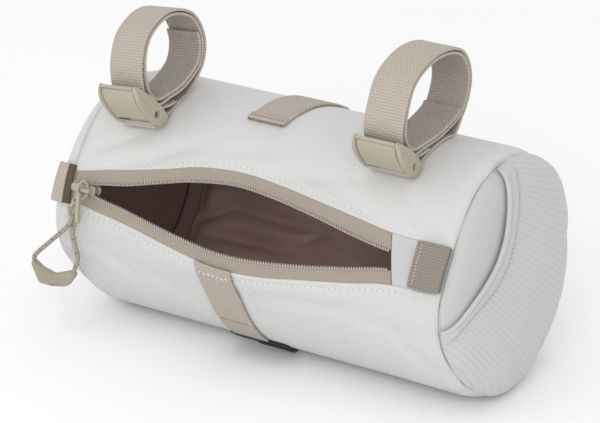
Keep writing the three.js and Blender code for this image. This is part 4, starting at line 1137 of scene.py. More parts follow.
def pocket_hem(rim, bulge):
    """The hem: a band along the pocket's mouth that ends at the rim, with a roll along its outer edge
    and a groove below the roll."""
    limit = np.linspace(0, 1.4, 400)
    first, last = (sign * limit[hem_line(sign * limit, HEM_WIDTH) < rim].max() for sign in (-1, 1))

    def where(a, c):
        turn = first + (last - first) * a
        low, high = (np.minimum(hem_line(turn, width), rim) for width in (HEM_WIDTH, 0))
        return POCKET_BEARING - np.degrees(turn), low + (high - low) * c

    def surface(a, c, depth):
        bearing, out = where(a, c)
        roll = HEM_ROLL * bell(c, *ROLL_AT) - HEM_GROOVE * bell(c, *HEM_GROOVE_AT)
        lift = roll * smoothstep(rim, rim - ROLL_FADE, out) - depth
        return on_dome(1, bearing, out, rim + 0.1, bulge + 0.5, lift)

    def place(a, c):
        return np.stack(end_plane(*where(a, c)), -1)

    return band("pocket_rolled_hem", surface, place, HEM_THICK, along=160, across=24, rims=(0.004, 0.06))


def make_pocket():
    """The stretch pocket and the rolled hem of its mouth."""
    radius, bulge = CAP_RADIUS + GAP + POCKET_THICK, POCKET_BULGE + POCKET_THICK
    dress(pocket_cloth(radius, bulge), "stretch", "stretch", "end_pocket")
    dress(pocket_hem(radius + 0.4, bulge), "canvas_hem", "canvas", "pocket_hem")


def make_lining():
    """The lining: a loose inner wall, two flat ends, and the rippled binding of the left seam."""
    end = SEAM - SEAM_GAP
    wall = bag_band("lining_cloth", (-end, end), (mouth(UPPER_CLOTH, -2), mouth(LOWER_CLOTH, 2 - 360)),
                    (LINING_DEPTH, LINING_DEPTH + LINING_THICK), along=120, across=170,
                    rims=(0.006, 0.004), folds=laid_flat(LINING_FOLDS))
    dress(wall, "lining", "lining", "lining_wall")
    declare_cloth(wall)
    radius = RADIUS - SHOULDER_DROP - LINING_DEPTH - LINING_THICK - LINING_CLEAR
    left = -end - LINING_DEEPER
    for side, low in (("left", left), ("right", LINING_RIGHT)):
        disc = lining_disc(f"lining_end_cloth_{side}", low, radius)
        dress(disc, "lining_end", "lining", f"lining_end_{side}")
    start = left + LINING_THICK + GAP

    def surface(a, c, depth):
        turn = np.radians(a * 360)
        ripple = RIPPLE * np.sin(turn * RIPPLES + 2 * np.sin(turn * 7))
        x = start + (BINDING + 0.8 * ripple) * c
        return on_tube(x, a * 360, radius - depth + ripple * np.sin(np.pi * c) - 0.5)

    def place(a, c):
        return np.stack([c * BINDING, a * 2 * np.pi * radius], -1)

    binding = band("lining_bound_seam", surface, place, BINDING_THICK, along=360, across=8,
                   rims=(0.0005, 0.1))
    dress(binding, "lining_dark", "lining", "lining_binding")


def lining_disc(name, low, radius):
    """Flat round piece of lining with slow waves that die out at its edge."""
    out = np.linspace(0.001, 1, 24)[:, None] * radius
    bearing = np.linspace(0, 360, 96, endpoint=False)[None, :]
    turn = np.radians(bearing)
    waves = LINING_WAVES * np.sin(out / 7 + turn * 3) * (1 - (out / radius) ** 2)
    faces = [on_tube(low + depth + waves, bearing, out) for depth in (LINING_THICK, 0)]
    flat = np.stack([out * np.sin(turn), out * np.cos(turn)], -1)
    return round_piece(name, faces, (flat, flat))


def make_zip():
    """Two zip tapes, and a coil of teeth wound along each one's inner edge."""
    gap = spread(GAP)
    full = float(mouth(LOWER_CLOTH)(ZIP_END_X) - mouth(UPPER_CLOTH)(ZIP_END_X))
    rows = (
        ("upper", mouth(UPPER_CLOTH, -gap), mouth(UPPER_TAPE, 2.5 * gap), UPPER_ENDS, 1, UPPER_TAPE),
        ("lower", mouth(LOWER_TAPE, -2.5 * gap), mouth(LOWER_CLOTH, gap), LOWER_ENDS, -1, LOWER_TAPE),
    )
    for side, low, high, (end, teeth_end), sign, edge in rows:
        slant = ZIP_END_SLANT * float(high(end) - low(end)) / full
        tape = bag_band(f"zip_tape_{side}_cloth", (-SEAM, end), (low, high),
                        (TAPE_DEPTH, TAPE_DEPTH + TAPE_THICK), along=160, across=14,
                        slants=(0, slant), rims=(0.004, 0.06))
        change_place(tape, from_teeth(edge, sign))
        dress(tape, "zip_tape", "webbing", f"zip_tape_{side}")
        coil = zip_coil(side, mouth(edge, sign * spread(GAP + TEETH_WIDTH / 2)), teeth_end)
        dress(coil, "zip_teeth", "zip_teeth", f"zip_teeth_{side}")


def from_teeth(edge, sign):
    """Change of a tape's cloth coordinates, so that the second runs out from its toothed edge."""
    return lambda uv: np.stack([uv[:, 0], (arc(mouth(edge)(uv[:, 0])) - uv[:, 1]) * sign], -1)


def zip_coil(side, middle, end):
    """Coil of teeth: a thread that goes round once in each pitch, about a bearing along the bag."""
    pitch = bpy.context.scene.bag_sizes.tooth_pitch / MM
    count = int((SEAM + end - 1) / pitch)
    s = np.linspace(0, count, count * 12 + 1)
    x = -SEAM + COIL_START + s * pitch
    bearing = middle(x) + spread(COIL_WIDE) * np.cos(2 * np.pi * s)
    path = on_bag(x, bearing, COIL_DEEP + COIL_DEEP * np.sin(2 * np.pi * s))
    return rope(f"zip_coil_{side}", path, COIL_THREAD, 6, reference=(1, 0, 0.01))


def moved_off(path):
    """Function that gives the two coordinates of a side-view path at a share of its steps, moved square
    to it by a height."""
    ahead = np.gradient(path, axis=0)
    normal = unit(np.stack([-ahead[:, 1], ahead[:, 0]], -1))
    steps = np.linspace(0, 1, len(path))

    def at(a, height):
        return [np.interp(a, steps, path[:, k]) + np.interp(a, steps, normal[:, k]) * height for k in (0, 1)]

    return at


def folded_band(name, path, across, thick):
    """Ribbon carried along a side-view path: across gives the point for a share of the path's steps, a
    share of the width and a height above the path's middle."""
    steps, travelled = np.linspace(0, 1, len(path)), lengths(path)

    def surface(a, c, depth):
        return across(a, c, thick / 2 - depth)

    def place(a, c):
        return np.stack([np.interp(a, steps, travelled), (c - 0.5) * WEBBING_WIDTH], -1)

    return band(name, surface, place, thick, len(path), FOLDED_COLUMNS, rims=(0.004, 0.03))


def tab_path(near, far, low, high):
    """Side view of a folded tab: out along its lower layer, round the fold, back along its upper layer."""
    middle, half = (low + high) / 2, (high - low) / 2
    way = np.sign(far - near)
    bend_at = far - way * half
    turn = np.linspace(-np.pi / 2, np.pi / 2, 13)[1:-1]
    bend = np.column_stack([bend_at + way * half * np.cos(turn), middle + half * np.sin(turn)])
    out = np.column_stack([np.linspace(near, bend_at, 24), np.full(24, low)])
    back = np.column_stack([np.linspace(bend_at, near, 24), np.full(24, high)])
    return np.concatenate([out, bend, back])


def make_tab(side, near, far, bearings, level, finish):
    """One folded tab and its path. The right one lies on the cloth. The left one stands out from the
    end, slants across its width, and dips where it goes into the seam."""
    thick = TAB_THICK
    low = level + thick / 2
    path = tab_path(near, far, low, low + thick + TAB_ROOM)
    moved = moved_off(path)

    def on_cloth(a, c, height):
        x, up = moved(a, height)
        bearing = bearings[0] + (bearings[1] - bearings[0]) * c
        past = np.maximum(x - SEAM, 0)
        return on_bag(np.minimum(x, SEAM), bearing, -up) + np.stack([past, 0 * x, 0 * x], -1)

    def stood_out(a, c, height):
        x, up = moved(a, -height)
        bearing = bearings[0] + (bearings[1] - bearings[0]) * c
        x = near + (x - near) * (1 + TAB_SLANT * c)
        up = up - TAB_DIP * smoothstep(near - TAB_DIP_FROM, near, x)
        return on_tube(x, bearing, RADIUS - SHOULDER_DROP + up)

    across = on_cloth if side == "right" else stood_out
    tab = folded_band(f"webbing_tab_{side}", path, across, thick)
    return dress(tab, finish, "webbing", f"tab_{side}"), path


def make_tabs():
    """Folded webbing tabs in the two end seams. The left one has painted shadow beside its seam, where it
    goes in.
    """
    make_tab("right", *RIGHT_TAB)
    tab, path = make_tab("left", *LEFT_TAB)
    # The rows beside the left tab's seam: painted shadow
    add_finish(tab, "webbing_seam", lambda row, column: row > len(path) - TAB_PAINTED_SHADOW_ROWS)


def make_webbing():
    """The strip down the front and the flat loop across the top, which is folded over at its front."""
    half = WEBBING_WIDTH / 2
    strip = bag_band("webbing_front", (STRIP_X - half, STRIP_X + half),
                     (mouth(LOWER_CLOTH, -0.6), fixed(STRIP_END)), (-LAID - WEBBING_THICK, -LAID),
                     along=16, across=70, slants=(STRIP_SLANT, STRIP_SLANT), rims=(0.03, 0.01))
    change_place(strip, lambda uv: uv[:, ::-1])
    dress(strip, "webbing_fine", "webbing", "front_strip")

    def surface(a, c, depth):
        x = LOOP_X + LOOP_SLANT * (a - 0.5) + WEBBING_WIDTH * (c - 0.5)
        folded = 1 + LOOP_FOLD * smoothstep(*LOOP_FOLD_ENDS, a)
        rise = LOOP_RISE * np.sin(np.pi * np.clip(a, 0, 1)) ** 2
        radius = RADIUS + LAID + rise + (WEBBING_THICK - depth) * folded
        return on_tube(x, LOOP_FROM - LOOP_LONG * a, radius)

    def place(a, c):
        return np.stack([arc(LOOP_LONG * a), (c - 0.5) * WEBBING_WIDTH], -1)

    loop = band("webbing_top_loop", surface, place, WEBBING_THICK, along=70, across=12, rims=(0.012, 0.03))
    dress(loop, "webbing_fine", "webbing", "top_loop")


def make_patch():
    """The dark rubber patch at the strip's foot: a long layer and a shorter one on it."""
    for name, ends, bearings, depths, along, rim, nodes in PATCH_LAYERS:
        layer = bag_band(name, ends, [fixed(bearing) for bearing in bearings], depths, along, across=10,
                         rims=(rim, 0.06))
        dress(layer, "rubber", "patch", *nodes)


# Straps and buckles

def pin_of(strap):
    """Middle of a buckle's hinge pin."""
    return on_tube(strap["x"], strap["bearing"], strap["radius"])


def buckle_axes(strap):
    """Directions along a buckle and out of its front, before it leans and yaws."""
    tilt = np.radians(strap["tilt"])
    return np.array([0, -np.sin(tilt), np.cos(tilt)]), np.array([0, -np.cos(tilt), -np.sin(tilt)])


def strap_turn(strap, share):
    """Turning matrices for shares of a strap's lean, about Y, and then of its yaw, about Z."""
    lean, yaw = -np.radians(strap["lean"]) * share, np.radians(strap["yaw"]) * share
    zero, one = np.zeros_like(lean), np.ones_like(lean)
    (cos_y, sin_y), (cos_z, sin_z) = ((np.cos(turn), np.sin(turn)) for turn in (lean, yaw))
    about_y = np.stack([cos_y, zero, sin_y, zero, one, zero, -sin_y, zero, cos_y], -1)
    about_z = np.stack([cos_z, -sin_z, zero, sin_z, cos_z, zero, zero, zero, one], -1)
    shape = lean.shape + (3, 3)
    return about_z.reshape(shape) @ about_y.reshape(shape)


def strap_route(strap):
    """Side-view route of a strap, each step with its share of the lean: a fold round the buckle's lower bar,
    a sewn run up the bag, and then a loop that closes in by one layer in each turn."""
    pin = pin_of(strap)
    along, out = buckle_axes(strap)
    bar = pin + along * LOWER_BAR_MIDDLE[0] + out * LOWER_BAR_MIDDLE[1]
    bar_bearing = np.degrees(np.arctan2(-bar[1], bar[2] - AXIS))
    bar_radius = np.hypot(bar[1], bar[2] - AXIS)
    sewn = RADIUS + GAP + WEBBING_THICK / 2
    leaning = WEBBING_WIDTH / 2 * np.sin(np.radians(strap["lean"]))
    level = np.where(FOLD_ROWS[:, 1] > 0, bar_radius, sewn + leaning * FOLD_ROWS[:, 3])
    fold = on_tube(FOLD_ROWS[:, 3], bar_bearing + FOLD_ROWS[:, 0], level + FOLD_ROWS[:, 2])
    run = on_tube(0, np.linspace(bar_bearing + SEWN_PAST, strap["sewn_to"], SEWN_POINTS), sewn + 0.1)
    rows = np.column_stack([strap["loop"][:, 2], strap["loop"][:, 0] + pin[1], strap["loop"][:, 1] + pin[2]])
    loop = spline(rows, closed=True, per=60)

    def winding(turned):
        place = np.mod(turned, 1.0)
        whole = np.floor(turned)
        at = evenly(loop, place)
        step = evenly(loop, np.mod(place + 1e-3, 1.0)) - evenly(loop, np.mod(place - 1e-3, 1.0))
        layers = whole + smoothstep(CROSS_FROM, CROSS_TO, place)
        inward = unit(np.stack([-step[:, 2], step[:, 1]], -1))
        flat = at[:, 1:] + inward * (layers * at[:, 0])[:, None]
        return np.column_stack([np.ones(len(turned)), flat])

    count = int(TURN_STEPS * strap["turns"])
    turns = winding(np.linspace(0, strap["turns"], count))
    joint = winding(np.array([0.0, JOIN_STEP]))
    lead = evenly(spline(np.concatenate([fold, run, joint]), per=40), LEAD_STEPS)
    joins = np.argmax(np.linalg.norm(lead - turns[0], axis=1) < JOIN_NEAR)
    return evenly(np.concatenate([lead[:joins], turns]), LEAD_STEPS + count, measure=1)


def make_strap(side, strap):
    """One long strap: a flat ribbon along its route, with a knob at each edge of every row of its weave.
    Its inner face has a darker copy of the webbing: painted shade inside the loops."""
    pitch = bpy.context.scene.bag_sizes.rib_pitch / MM
    route, pin = strap_route(strap), pin_of(strap)
    path, steps = route[:, 1:], np.linspace(0, 1, len(route))
    travelled, moved = lengths(path)[-1], moved_off(path)

    def across(a, c, height):
        y, z = moved(a, height)
        knobs = KNOB * np.abs(np.sin(np.pi * a * travelled / pitch)) - KNOB_DRAWN_IN
        local = np.stack([(c - 0.5) * (WEBBING_WIDTH + knobs), y - pin[1], z - pin[2]], -1)
        turn = strap_turn(strap, np.interp(a, steps, route[:, 0]))
        return np.einsum("...ij,...j->...i", turn, local) + pin

    ribbon = folded_band(f"webbing_strap_{side}", path, across, WEBBING_THICK)
    dress(ribbon, "webbing", "webbing", f"strap_{side}")
    # Inner faces of the ribbon: painted shade of the loops
    add_finish(ribbon, "webbing_inner", lambda row, column: column < FOLDED_COLUMNS - 1)


def make_straps():
    """The two long straps."""
    for side, strap in STRAPS.items():
        make_strap(side, strap)


def make_buckles():
    """Two cam buckles: a frame of two holed walls with bars between them, and a lever on a pin. Their
    walls are drawn in towards the top."""
    half, full = BUCKLE_INNER / 2, BUCKLE_INNER / 2 + BUCKLE_WALL
    bars, lever = (-half - 0.5, half + 0.5), (-half + 0.4, half - 0.4)
    circle = np.linspace(0, 2 * np.pi, 20, endpoint=False)
    circle = np.column_stack([np.cos(circle), np.sin(circle)])
    shapes = {
        "frame": gathered([
            holed_prism(WALL_OUTLINE, PIN_HOLE, -full, -half, bevel=1.25, corner=1.6),
            holed_prism(WALL_OUTLINE, PIN_HOLE, half, full, bevel=1.25, corner=1.6),
            prism(TOP_BAR, *bars, bevel=0.2, corner=0.7),
            prism(FRONT_BAR, bars[0], -half + FRONT_BAR_LONG, bevel=0.3, corner=0.4),
            prism(LOWER_BAR, *bars, bevel=0.2, corner=0.4),
            prism(BACK_BAR, *bars, bevel=0.2, corner=0.2),
        ]),
        "lever": gathered([
            prism(LEVER_PLATE, *lever, bevel=0.45, corner=0.8),
            prism(circle * LEVER_BOSS, *lever, bevel=0.3, corner=0.2),
            prism(circle * PIN_RADIUS, -half - 0.1, half + 0.1, bevel=0.2, corner=0.1),
        ]),
    }
    for points, _ in shapes.values():
        outer = smoothstep(half - 1.5, full, np.abs(points[:, 2]))
        drawn_in = DRAWN_IN * smoothstep(*DRAWN_FROM, points[:, 0]) ** 2 * outer
        points[:, 2] -= np.sign(points[:, 2]) * drawn_in
    for side, strap in STRAPS.items():
        axes = np.column_stack([*buckle_axes(strap), [1, 0, 0]])
        to_world = strap_turn(strap, np.array(1.0)) @ axes
        for (label, (points, faces)), body in zip(shapes.items(), (BAG_BODY, f"lever_{side}")):
            placed = points @ to_world.T + pin_of(strap)
            piece = put_mesh(f"moulded_{label}_{side}", placed, faces, sharp=SHARP)
            dress(piece, "plastic", "buckle", f"buckle_{label}_{side}", body=body)


# Slider, pull and cord

def pull_ring():
    """The pull's ring: a round section carried round an oval that is turned about the way up the cloth."""
    oval = np.linspace(0, 2 * np.pi, 48, endpoint=False)
    section = np.linspace(0, 2 * np.pi, 10, endpoint=False)[None, :, None]
    reach = np.outer(np.cos(oval), RING_WIDE) + np.outer(np.sin(oval), RING_TALL)
    away = unit(reach)[:, None] * RING_RADIUS
    ring = RING_MIDDLE + reach[:, None] + away * np.cos(section) + RING_ACROSS * np.sin(section)
    return oriented(ring.reshape(-1, 3), grid_faces(48, 10, wrap_rows=True, wrap_columns=True))


def make_slider():
    """The zip slider with its bail, and the ring and stem of its pull."""
    turn = np.radians(SLIDER_BEARING)
    uphill, outward = [0, np.cos(turn), np.sin(turn)], [0, -np.sin(turn), np.cos(turn)]
    flat = np.column_stack([[1, 0, 0], uphill, outward])
    middle = on_tube(SLIDER_X, SLIDER_BEARING, RADIUS)
    arch, arch_faces = prism(BAIL, -0.9, 0.9, bevel=0.25, corner=0.5)
    stem, stem_faces = prism(STEM, -0.9, 0.9, bevel=0.4, corner=0.8)
    stem[:, 2] -= STEM_ASIDE + STEM_SKEW * stem[:, 0]
    plates = [
        prism(PLATE, 0.6, 2.1, bevel=0.35, corner=1.0),
        prism(PLATE, -4, -2.8, bevel=0.3, corner=1.0),
        prism(SLIDER_POST, -3.4, 1.2, bevel=0.1, corner=0.2),
        oriented(arch[:, [0, 2, 1]], arch_faces),
    ]
    hanging = [pull_ring(), oriented(stem[:, [2, 0, 1]], stem_faces)]
    for label, bodies in (("slider", plates), ("pull", hanging)):
        points, faces = gathered(bodies)
        piece = put_mesh(f"moulded_{label}", points @ flat.T + middle, faces, sharp=SHARP)
        dress(piece, "plastic", "buckle", f"zip_{label}")


def clip_bend(x):
    """How far back the clip is bent at a place along it: its left part leans away."""
    return CLIP_LEAN * np.maximum(CLIP_FOLD - x, 0)


def make_cord():
    """The pull cord's two strands, the trefoil knot that holds them and the moulded clip at their end."""
    s = np.linspace(0, 2 * np.pi, 120, endpoint=False)
    wide, tall = np.sin(s) + 2 * np.sin(2 * s), np.cos(s) - 2 * np.cos(2 * s)
    trefoil = np.column_stack([wide, -1.2 * np.sin(3 * s), tall]) * KNOT_SIZE + KNOT
    tied = rope("cord_tied_knot", trefoil, KNOT_CORD, 10, reference=(0.2, 1, 0.1), closed=True)
    dress(tied, "cord", "cord", "cord_knot")
    shape, clip_faces = prism(CLIP_OUTLINE, -CLIP_HALF, CLIP_HALF, bevel=0.7, corner=2.0)
    bent = shape[:, [0, 2, 1]] + np.array([0, CLIP_Y, 0])
    bent[:, 1] += clip_bend(bent[:, 0])
    clip = put_mesh("moulded_clip", bent, clip_faces, sharp=SHARP)
    dress(clip, "clip", "buckle", "cord_clip")
    for side, rows, on_it in (("left", CORD_LEFT, [tied]), ("right", CORD_RIGHT, [clip])):
        path = evenly(spline(rows, per=30), 90)
        path[:, 1] += clip_bend(path[:, 0]) * smoothstep(*CORD_BENDS, path[:, 2])
        strand = rope(f"cord_strand_{side}", path, CORD_RADIUS, 12)
        dress(strand, "cord", "cord", f"cord_{side}")


# Stitches

def sew(name, line, stitch, finish, slot, shift=0.0):
    """Row of short threads along a path with its outward directions: each thread is a round section that
    swells and dips again along its length. A stitch is its pitch, length and radius."""
    (path, normal), (pitch, long, radius) = line, stitch
    steps, sides = 7, 6
    total = lengths(path)[-1]
    count = max(int(total / pitch), 1)
    start = (np.arange(count)[:, None] + 0.5 + shift) * pitch - long / 2
    share = np.clip((start + np.linspace(0, 1, steps)[None, :] * long) / total, 0, 1).ravel()
    middle, up = (evenly(curve, share).reshape(count, steps, 3) for curve in (path, normal))
    up = unit(up)
    side = np.cross(unit(np.gradient(middle, axis=1)), up)
    swell = np.sqrt(np.maximum(1 - np.linspace(-1, 1, steps) ** 4, 0.01))[None, :, None, None]
    turn = np.linspace(0, 2 * np.pi, sides, endpoint=False)[None, None, :, None]
    ring = side[:, :, None] * 1.2 * np.cos(turn) + up[:, :, None] * (np.sin(turn) + 0.5)
    points = middle[:, :, None] + ring * swell * radius
    one = np.array(grid_faces(steps, sides, wrap_columns=True))
    faces = one[None] + (np.arange(count) * steps * sides)[:, None, None]
    dress(put_mesh(name, points, faces.reshape(-1, 4).tolist()), finish, slot)


def bag_line(x, bearing, depth, creased=CREASED):
    """A line on the bag and the outward direction along it."""
    path = on_bag(x, bearing, depth, creased)
    return path, on_bag(x, bearing, depth - 1, creased) - path


def make_stitches():
    """Rows of sewing along the zip, the pocket's hem, the right tab, the strip and the loop."""
    sizes = bpy.context.scene.bag_sizes
    long, pitch = sizes.stitch_length / MM, sizes.stitch_pitch / MM
    zip_rows = (("upper", np.linspace(*SEWN_UPPER, 500), mouth(UPPER_CLOTH, -SEW_UPPER)),
                ("lower", np.linspace(*SEWN_LOWER, 500), mouth(LOWER_CLOTH, SEW_LOWER)))
    for label, x, row in zip_rows:
        sew(f"sewing_zip_{label}", bag_line(x, row(x), SUNK), (pitch, long, ZIP_THREAD), "thread_white",
            "canvas")
    # Dark dots between the stitches: painted shade of the needle holes
    for label, x, row in zip_rows:
        sew(f"sewing_holes_{label}", bag_line(x, row(x), HOLE_SUNK), (pitch, *HOLE), "thread_dark",
            "canvas", shift=0.5)

    turn = np.linspace(-HEM_SEWN_TURN, HEM_SEWN_TURN, 300)
    out = hem_line(turn, HEM_WIDTH - HEM_SEWN_IN)
    inside = out < CAP_RADIUS + 1.0
    bearing, out = POCKET_BEARING - np.degrees(turn[inside]), out[inside]
    radius, bulge = CAP_RADIUS + GAP + POCKET_THICK + 0.5, POCKET_BULGE + POCKET_THICK + 0.6
    path, higher = (on_dome(1, bearing, out, radius + up, bulge + up) for up in (0, 1))
    sew("sewing_pocket_hem", (path, higher - path), HEM_STITCH, "thread_grey", "stretch")

    tab = bag_line(np.full(100, TAB_SEWN_X), np.linspace(*TAB_SEWN, 100), -GAP - 2 * WEBBING_THICK, 0.0)
    sew("sewing_tab", tab, TAB_STITCH, "thread_beige", "webbing")

    x, depth = np.linspace(*STRIP_SEWN, 120), -LAID - WEBBING_THICK - SUNK
    zigzag = mouth(LOWER_CLOTH, ZIGZAG_BELOW)(x) + 0.5 * np.sin(x * 1.9)
    sew("sewing_strip_top", bag_line(x, zigzag, depth, 0.0), ZIGZAG_STITCH, "thread_white", "webbing")
    low = bag_line(x + STRIP_LOW_SHIFT, np.full(120, STRIP_LOW), depth, 0.0)
    sew("sewing_strip_low", low, STRIP_STITCH, "thread_brown", "webbing")

    x = LOOP_X - LOOP_SEWN_ASIDE + WEBBING_WIDTH * (np.linspace(0.05, 0.95, 100) - 0.5)
    top = RADIUS + LAID + WEBBING_THICK * (1 + LOOP_FOLD) + 0.05
    path, higher = (on_tube(x, LOOP_SEWN, top + up) for up in (0, 1))
    sew("sewing_top_loop", (path, higher - path), LOOP_STITCH, "thread_brown", "webbing")


# Stage

def aimed(name, data, place, towards):
    """A lamp or a camera at a place, turned to look along a direction."""
    thing = bpy.data.objects.new(name, data)
    thing.location = place
    thing.rotation_euler = Vector(towards).to_track_quat("-Z", "Y").to_euler()
    bpy.context.scene.collection.objects.link(thing)
    return thing


def make_stage():
    """Pale floor, soft lights and the camera."""
    scene = bpy.context.scene
    side = np.linspace(-FLOOR_HALF, FLOOR_HALF, 9)
    x, y = np.meshgrid(side, side, indexing="ij")
    floor = put_mesh("floor", np.stack([x, y, 0 * x - FLOOR_DEPTH], -1), grid_faces(9, 9))
    if floor.data.polygons[0].normal.z < 0:
        floor.data.flip_normals()
    tree, shader = new_material("floor_paper", 0.9, sheen=0.0, specular=0.1)
    paper = tint(tree, mottled(tree, 3.0, 60.0)["Cloud"], scene.bag_colours.floor, 0.99, 1.0)
    tree.links.new(paper, shader["Base Color"])
    floor.data.materials.append(bpy.data.materials["floor_paper"])

    scene.world = bpy.data.worlds.new("studio")
    scene.world.use_nodes = True
    background = scene.world.node_tree.nodes["Background"].inputs
    background["Color"].default_value = (1, 1, 1, 1)
    background["Strength"].default_value = WORLD_LIGHT
    scene.view_settings.view_transform = "Standard"
    for name, place, size, power in LAMPS:
        lamp = bpy.data.lights.new(name, "AREA")
        lamp.size, lamp.energy = size, power
        aimed(name, lamp, place, LAMPS_AT - Vector(place))

    camera = bpy.data.cameras.new("camera")
    camera.lens, camera.sensor_width = 157.3, 36.0
    camera.shift_x, camera.shift_y = -0.01262, 0.0226
    camera.clip_start, camera.clip_end = 0.05, 20.0
    scene.camera = aimed("camera", camera, CAMERA_AT, CAMERA_LOOKS)


# Settings

def length_setting(label, words, default):
    """A length in metres."""
    return FloatProperty(name=label, description=words, default=default, min=0.0001, max=0.02,
                         unit="LENGTH", precision=5)


def colour_setting(label, words, default):
    """A linear colour."""
    return FloatVectorProperty(name=label, description=words, default=default, size=3, subtype="COLOR",
                               min=0, max=1)


class BagSizes(bpy.types.PropertyGroup):
    """Sizes of the bag's finer details."""

    weave_pitch: length_setting("Weave pitch", "Distance between the canvas threads", 0.00075)
    rib_pitch: length_setting("Rib pitch", "Distance between the rows of the webbing", 0.00135)
    bead_pitch: length_setting("Bead pitch", "Distance between the beads in a webbing row", 0.00082)
    tooth_pitch: length_setting("Tooth pitch", "Distance between the zip's teeth", 0.00138)
    stitch_length: length_setting("Stitch length", "Length of one stitch beside the zip", 0.0023)
    stitch_pitch: length_setting("Stitch pitch", "Distance between the stitches beside the zip", 0.0031)


class BagColours(bpy.types.PropertyGroup):
    """Colours of the bag's finishes."""

    canvas: colour_setting("Canvas", "Cloth of the bag's wall", (0.618, 0.618, 0.61))
    stretch: colour_setting("Stretch cloth", "Cloth of the end pocket", (0.528, 0.534, 0.518))
    webbing: colour_setting("Webbing", "Straps, tabs, loop and strip", (0.515, 0.452, 0.39))
    tape: colour_setting("Zip tape", "Tapes of the zip", (0.365, 0.31, 0.26))
    teeth: colour_setting("Zip teeth", "Coil of the zip", (0.43, 0.385, 0.355))
    plastic: colour_setting("Moulded plastic", "Buckles, slider and pull", (0.40, 0.36, 0.28))
    lining: colour_setting("Lining", "Inside of the bag", (0.51, 0.345, 0.303))
    patch: colour_setting("Patch", "Rubber patch at the strip's foot", (0.018, 0.018, 0.02))
    cord: colour_setting("Cord", "Pull cord and its clip", (0.37, 0.33, 0.265))
    thread: colour_setting("Thread", "Sewing of the cloth", (0.72, 0.72, 0.72))
    # Colour of the painted shadow on the left tab beside the end seam
    webbing_seam: colour_setting("Webbing at the seam", "Left tab beside the end seam", (0.13, 0.088, 0.058))
    thread_brown: colour_setting("Brown thread", "Sewing of the strip", (0.30, 0.21, 0.11))
    floor: colour_setting("Floor", "Paper floor", (0.96, 0.96, 0.96))


# Operators and panel

class BagOperator:
    """Shared run of an operator: it makes its pieces and says that it has finished."""

    bl_options = {"REGISTER", "UNDO"}

    def execute(self, context):
        """Makes the pieces."""
        self.make()
        return {"FINISHED"}


class BAG_OT_stage(BagOperator, bpy.types.Operator):
    """Adds the floor, the lights and the camera"""

    bl_idname = "bag.stage"
    bl_label = "Stage"
    make = staticmethod(make_stage)


class BAG_OT_cord(BagOperator, bpy.types.Operator):
    """Adds the pull cord, its knot and its clip"""

    bl_idname = "bag.cord"
    bl_label = "Pull cord"
    make = staticmethod(make_cord)


class BAG_OT_panels(BagOperator, bpy.types.Operator):
    """Adds the cloth panels"""

    bl_idname = "bag.panels"
    bl_label = "Cloth panels"
    make = staticmethod(make_panels)


class BAG_OT_ends(BagOperator, bpy.types.Operator):
    """Adds the round ends"""

    bl_idname = "bag.ends"
    bl_label = "Round ends"
    make = staticmethod(make_ends)


class BAG_OT_pocket(BagOperator, bpy.types.Operator):
    """Adds the stretch pocket and its hem"""

    bl_idname = "bag.pocket"
    bl_label = "End pocket"
    make = staticmethod(make_pocket)


class BAG_OT_lining(BagOperator, bpy.types.Operator):
    """Adds the lining"""

    bl_idname = "bag.lining"
    bl_label = "Lining"
    make = staticmethod(make_lining)


class BAG_OT_zip(BagOperator, bpy.types.Operator):
    """Adds the zip's tapes and teeth"""

    bl_idname = "bag.zip"
    bl_label = "Zip"
    make = staticmethod(make_zip)


class BAG_OT_tabs(BagOperator, bpy.types.Operator):
    """Adds the folded tabs"""

    bl_idname = "bag.tabs"
    bl_label = "Tabs"
    make = staticmethod(make_tabs)


class BAG_OT_webbing(BagOperator, bpy.types.Operator):
    """Adds the front strip and the top loop"""

    bl_idname = "bag.webbing"
    bl_label = "Strip and loop"
    make = staticmethod(make_webbing)


class BAG_OT_patch(BagOperator, bpy.types.Operator):
    """Adds the rubber patch"""

    bl_idname = "bag.patch"
    bl_label = "Rubber patch"
    make = staticmethod(make_patch)


class BAG_OT_straps(BagOperator, bpy.types.Operator):
    """Adds the two long straps"""

    bl_idname = "bag.straps"
    bl_label = "Straps"
    make = staticmethod(make_straps)


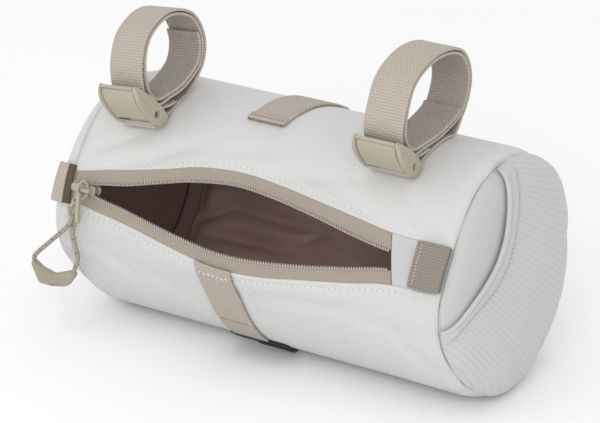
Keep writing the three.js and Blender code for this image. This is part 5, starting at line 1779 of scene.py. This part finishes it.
class BAG_OT_buckles(BagOperator, bpy.types.Operator):
    """Adds the cam buckles"""

    bl_idname = "bag.buckles"
    bl_label = "Buckles"
    make = staticmethod(make_buckles)


class BAG_OT_slider(BagOperator, bpy.types.Operator):
    """Adds the zip slider and its pull"""

    bl_idname = "bag.slider"
    bl_label = "Zip slider"
    make = staticmethod(make_slider)


class BAG_OT_stitches(BagOperator, bpy.types.Operator):
    """Adds the rows of sewing"""

    bl_idname = "bag.stitches"
    bl_label = "Sewing"
    make = staticmethod(make_stitches)


OPERATORS = (
    BAG_OT_stage, BAG_OT_cord, BAG_OT_panels, BAG_OT_ends, BAG_OT_pocket, BAG_OT_lining, BAG_OT_zip,
    BAG_OT_tabs, BAG_OT_webbing, BAG_OT_patch, BAG_OT_straps, BAG_OT_buckles, BAG_OT_slider, BAG_OT_stitches,
)


class BAG_PT_sidebar(bpy.types.Panel):
    """Lists the bag's sizes, colours and pieces"""

    bl_idname = "BAG_PT_sidebar"
    bl_label = "Handlebar bag"
    bl_space_type = "VIEW_3D"
    bl_region_type = "UI"
    bl_category = "Bag"

    def draw(self, context):
        """Draws the settings and one button for each operator."""
        for group in (context.scene.bag_sizes, context.scene.bag_colours):
            for key in group.bl_rna.properties.keys():
                if key not in {"rna_type", "name"}:
                    self.layout.prop(group, key)
        for operator in OPERATORS:
            self.layout.operator(operator.bl_idname)


CLASSES = (BagSizes, BagColours, *OPERATORS, BAG_PT_sidebar)


def register():
    """Registers the classes and puts the settings on the scene."""
    for kind in CLASSES:
        bpy.utils.register_class(kind)
    bpy.types.Scene.bag_sizes = PointerProperty(type=BagSizes)
    bpy.types.Scene.bag_colours = PointerProperty(type=BagColours)


def unregister():
    """Takes the settings and the classes away again."""
    del bpy.types.Scene.bag_colours
    del bpy.types.Scene.bag_sizes
    for kind in reversed(CLASSES):
        bpy.utils.unregister_class(kind)


def main():
    """Makes every piece in order."""
    register()
    for operator in OPERATORS:
        getattr(bpy.ops.bag, operator.bl_idname.split(".")[1])()


if __name__ == "__main__":
    main()
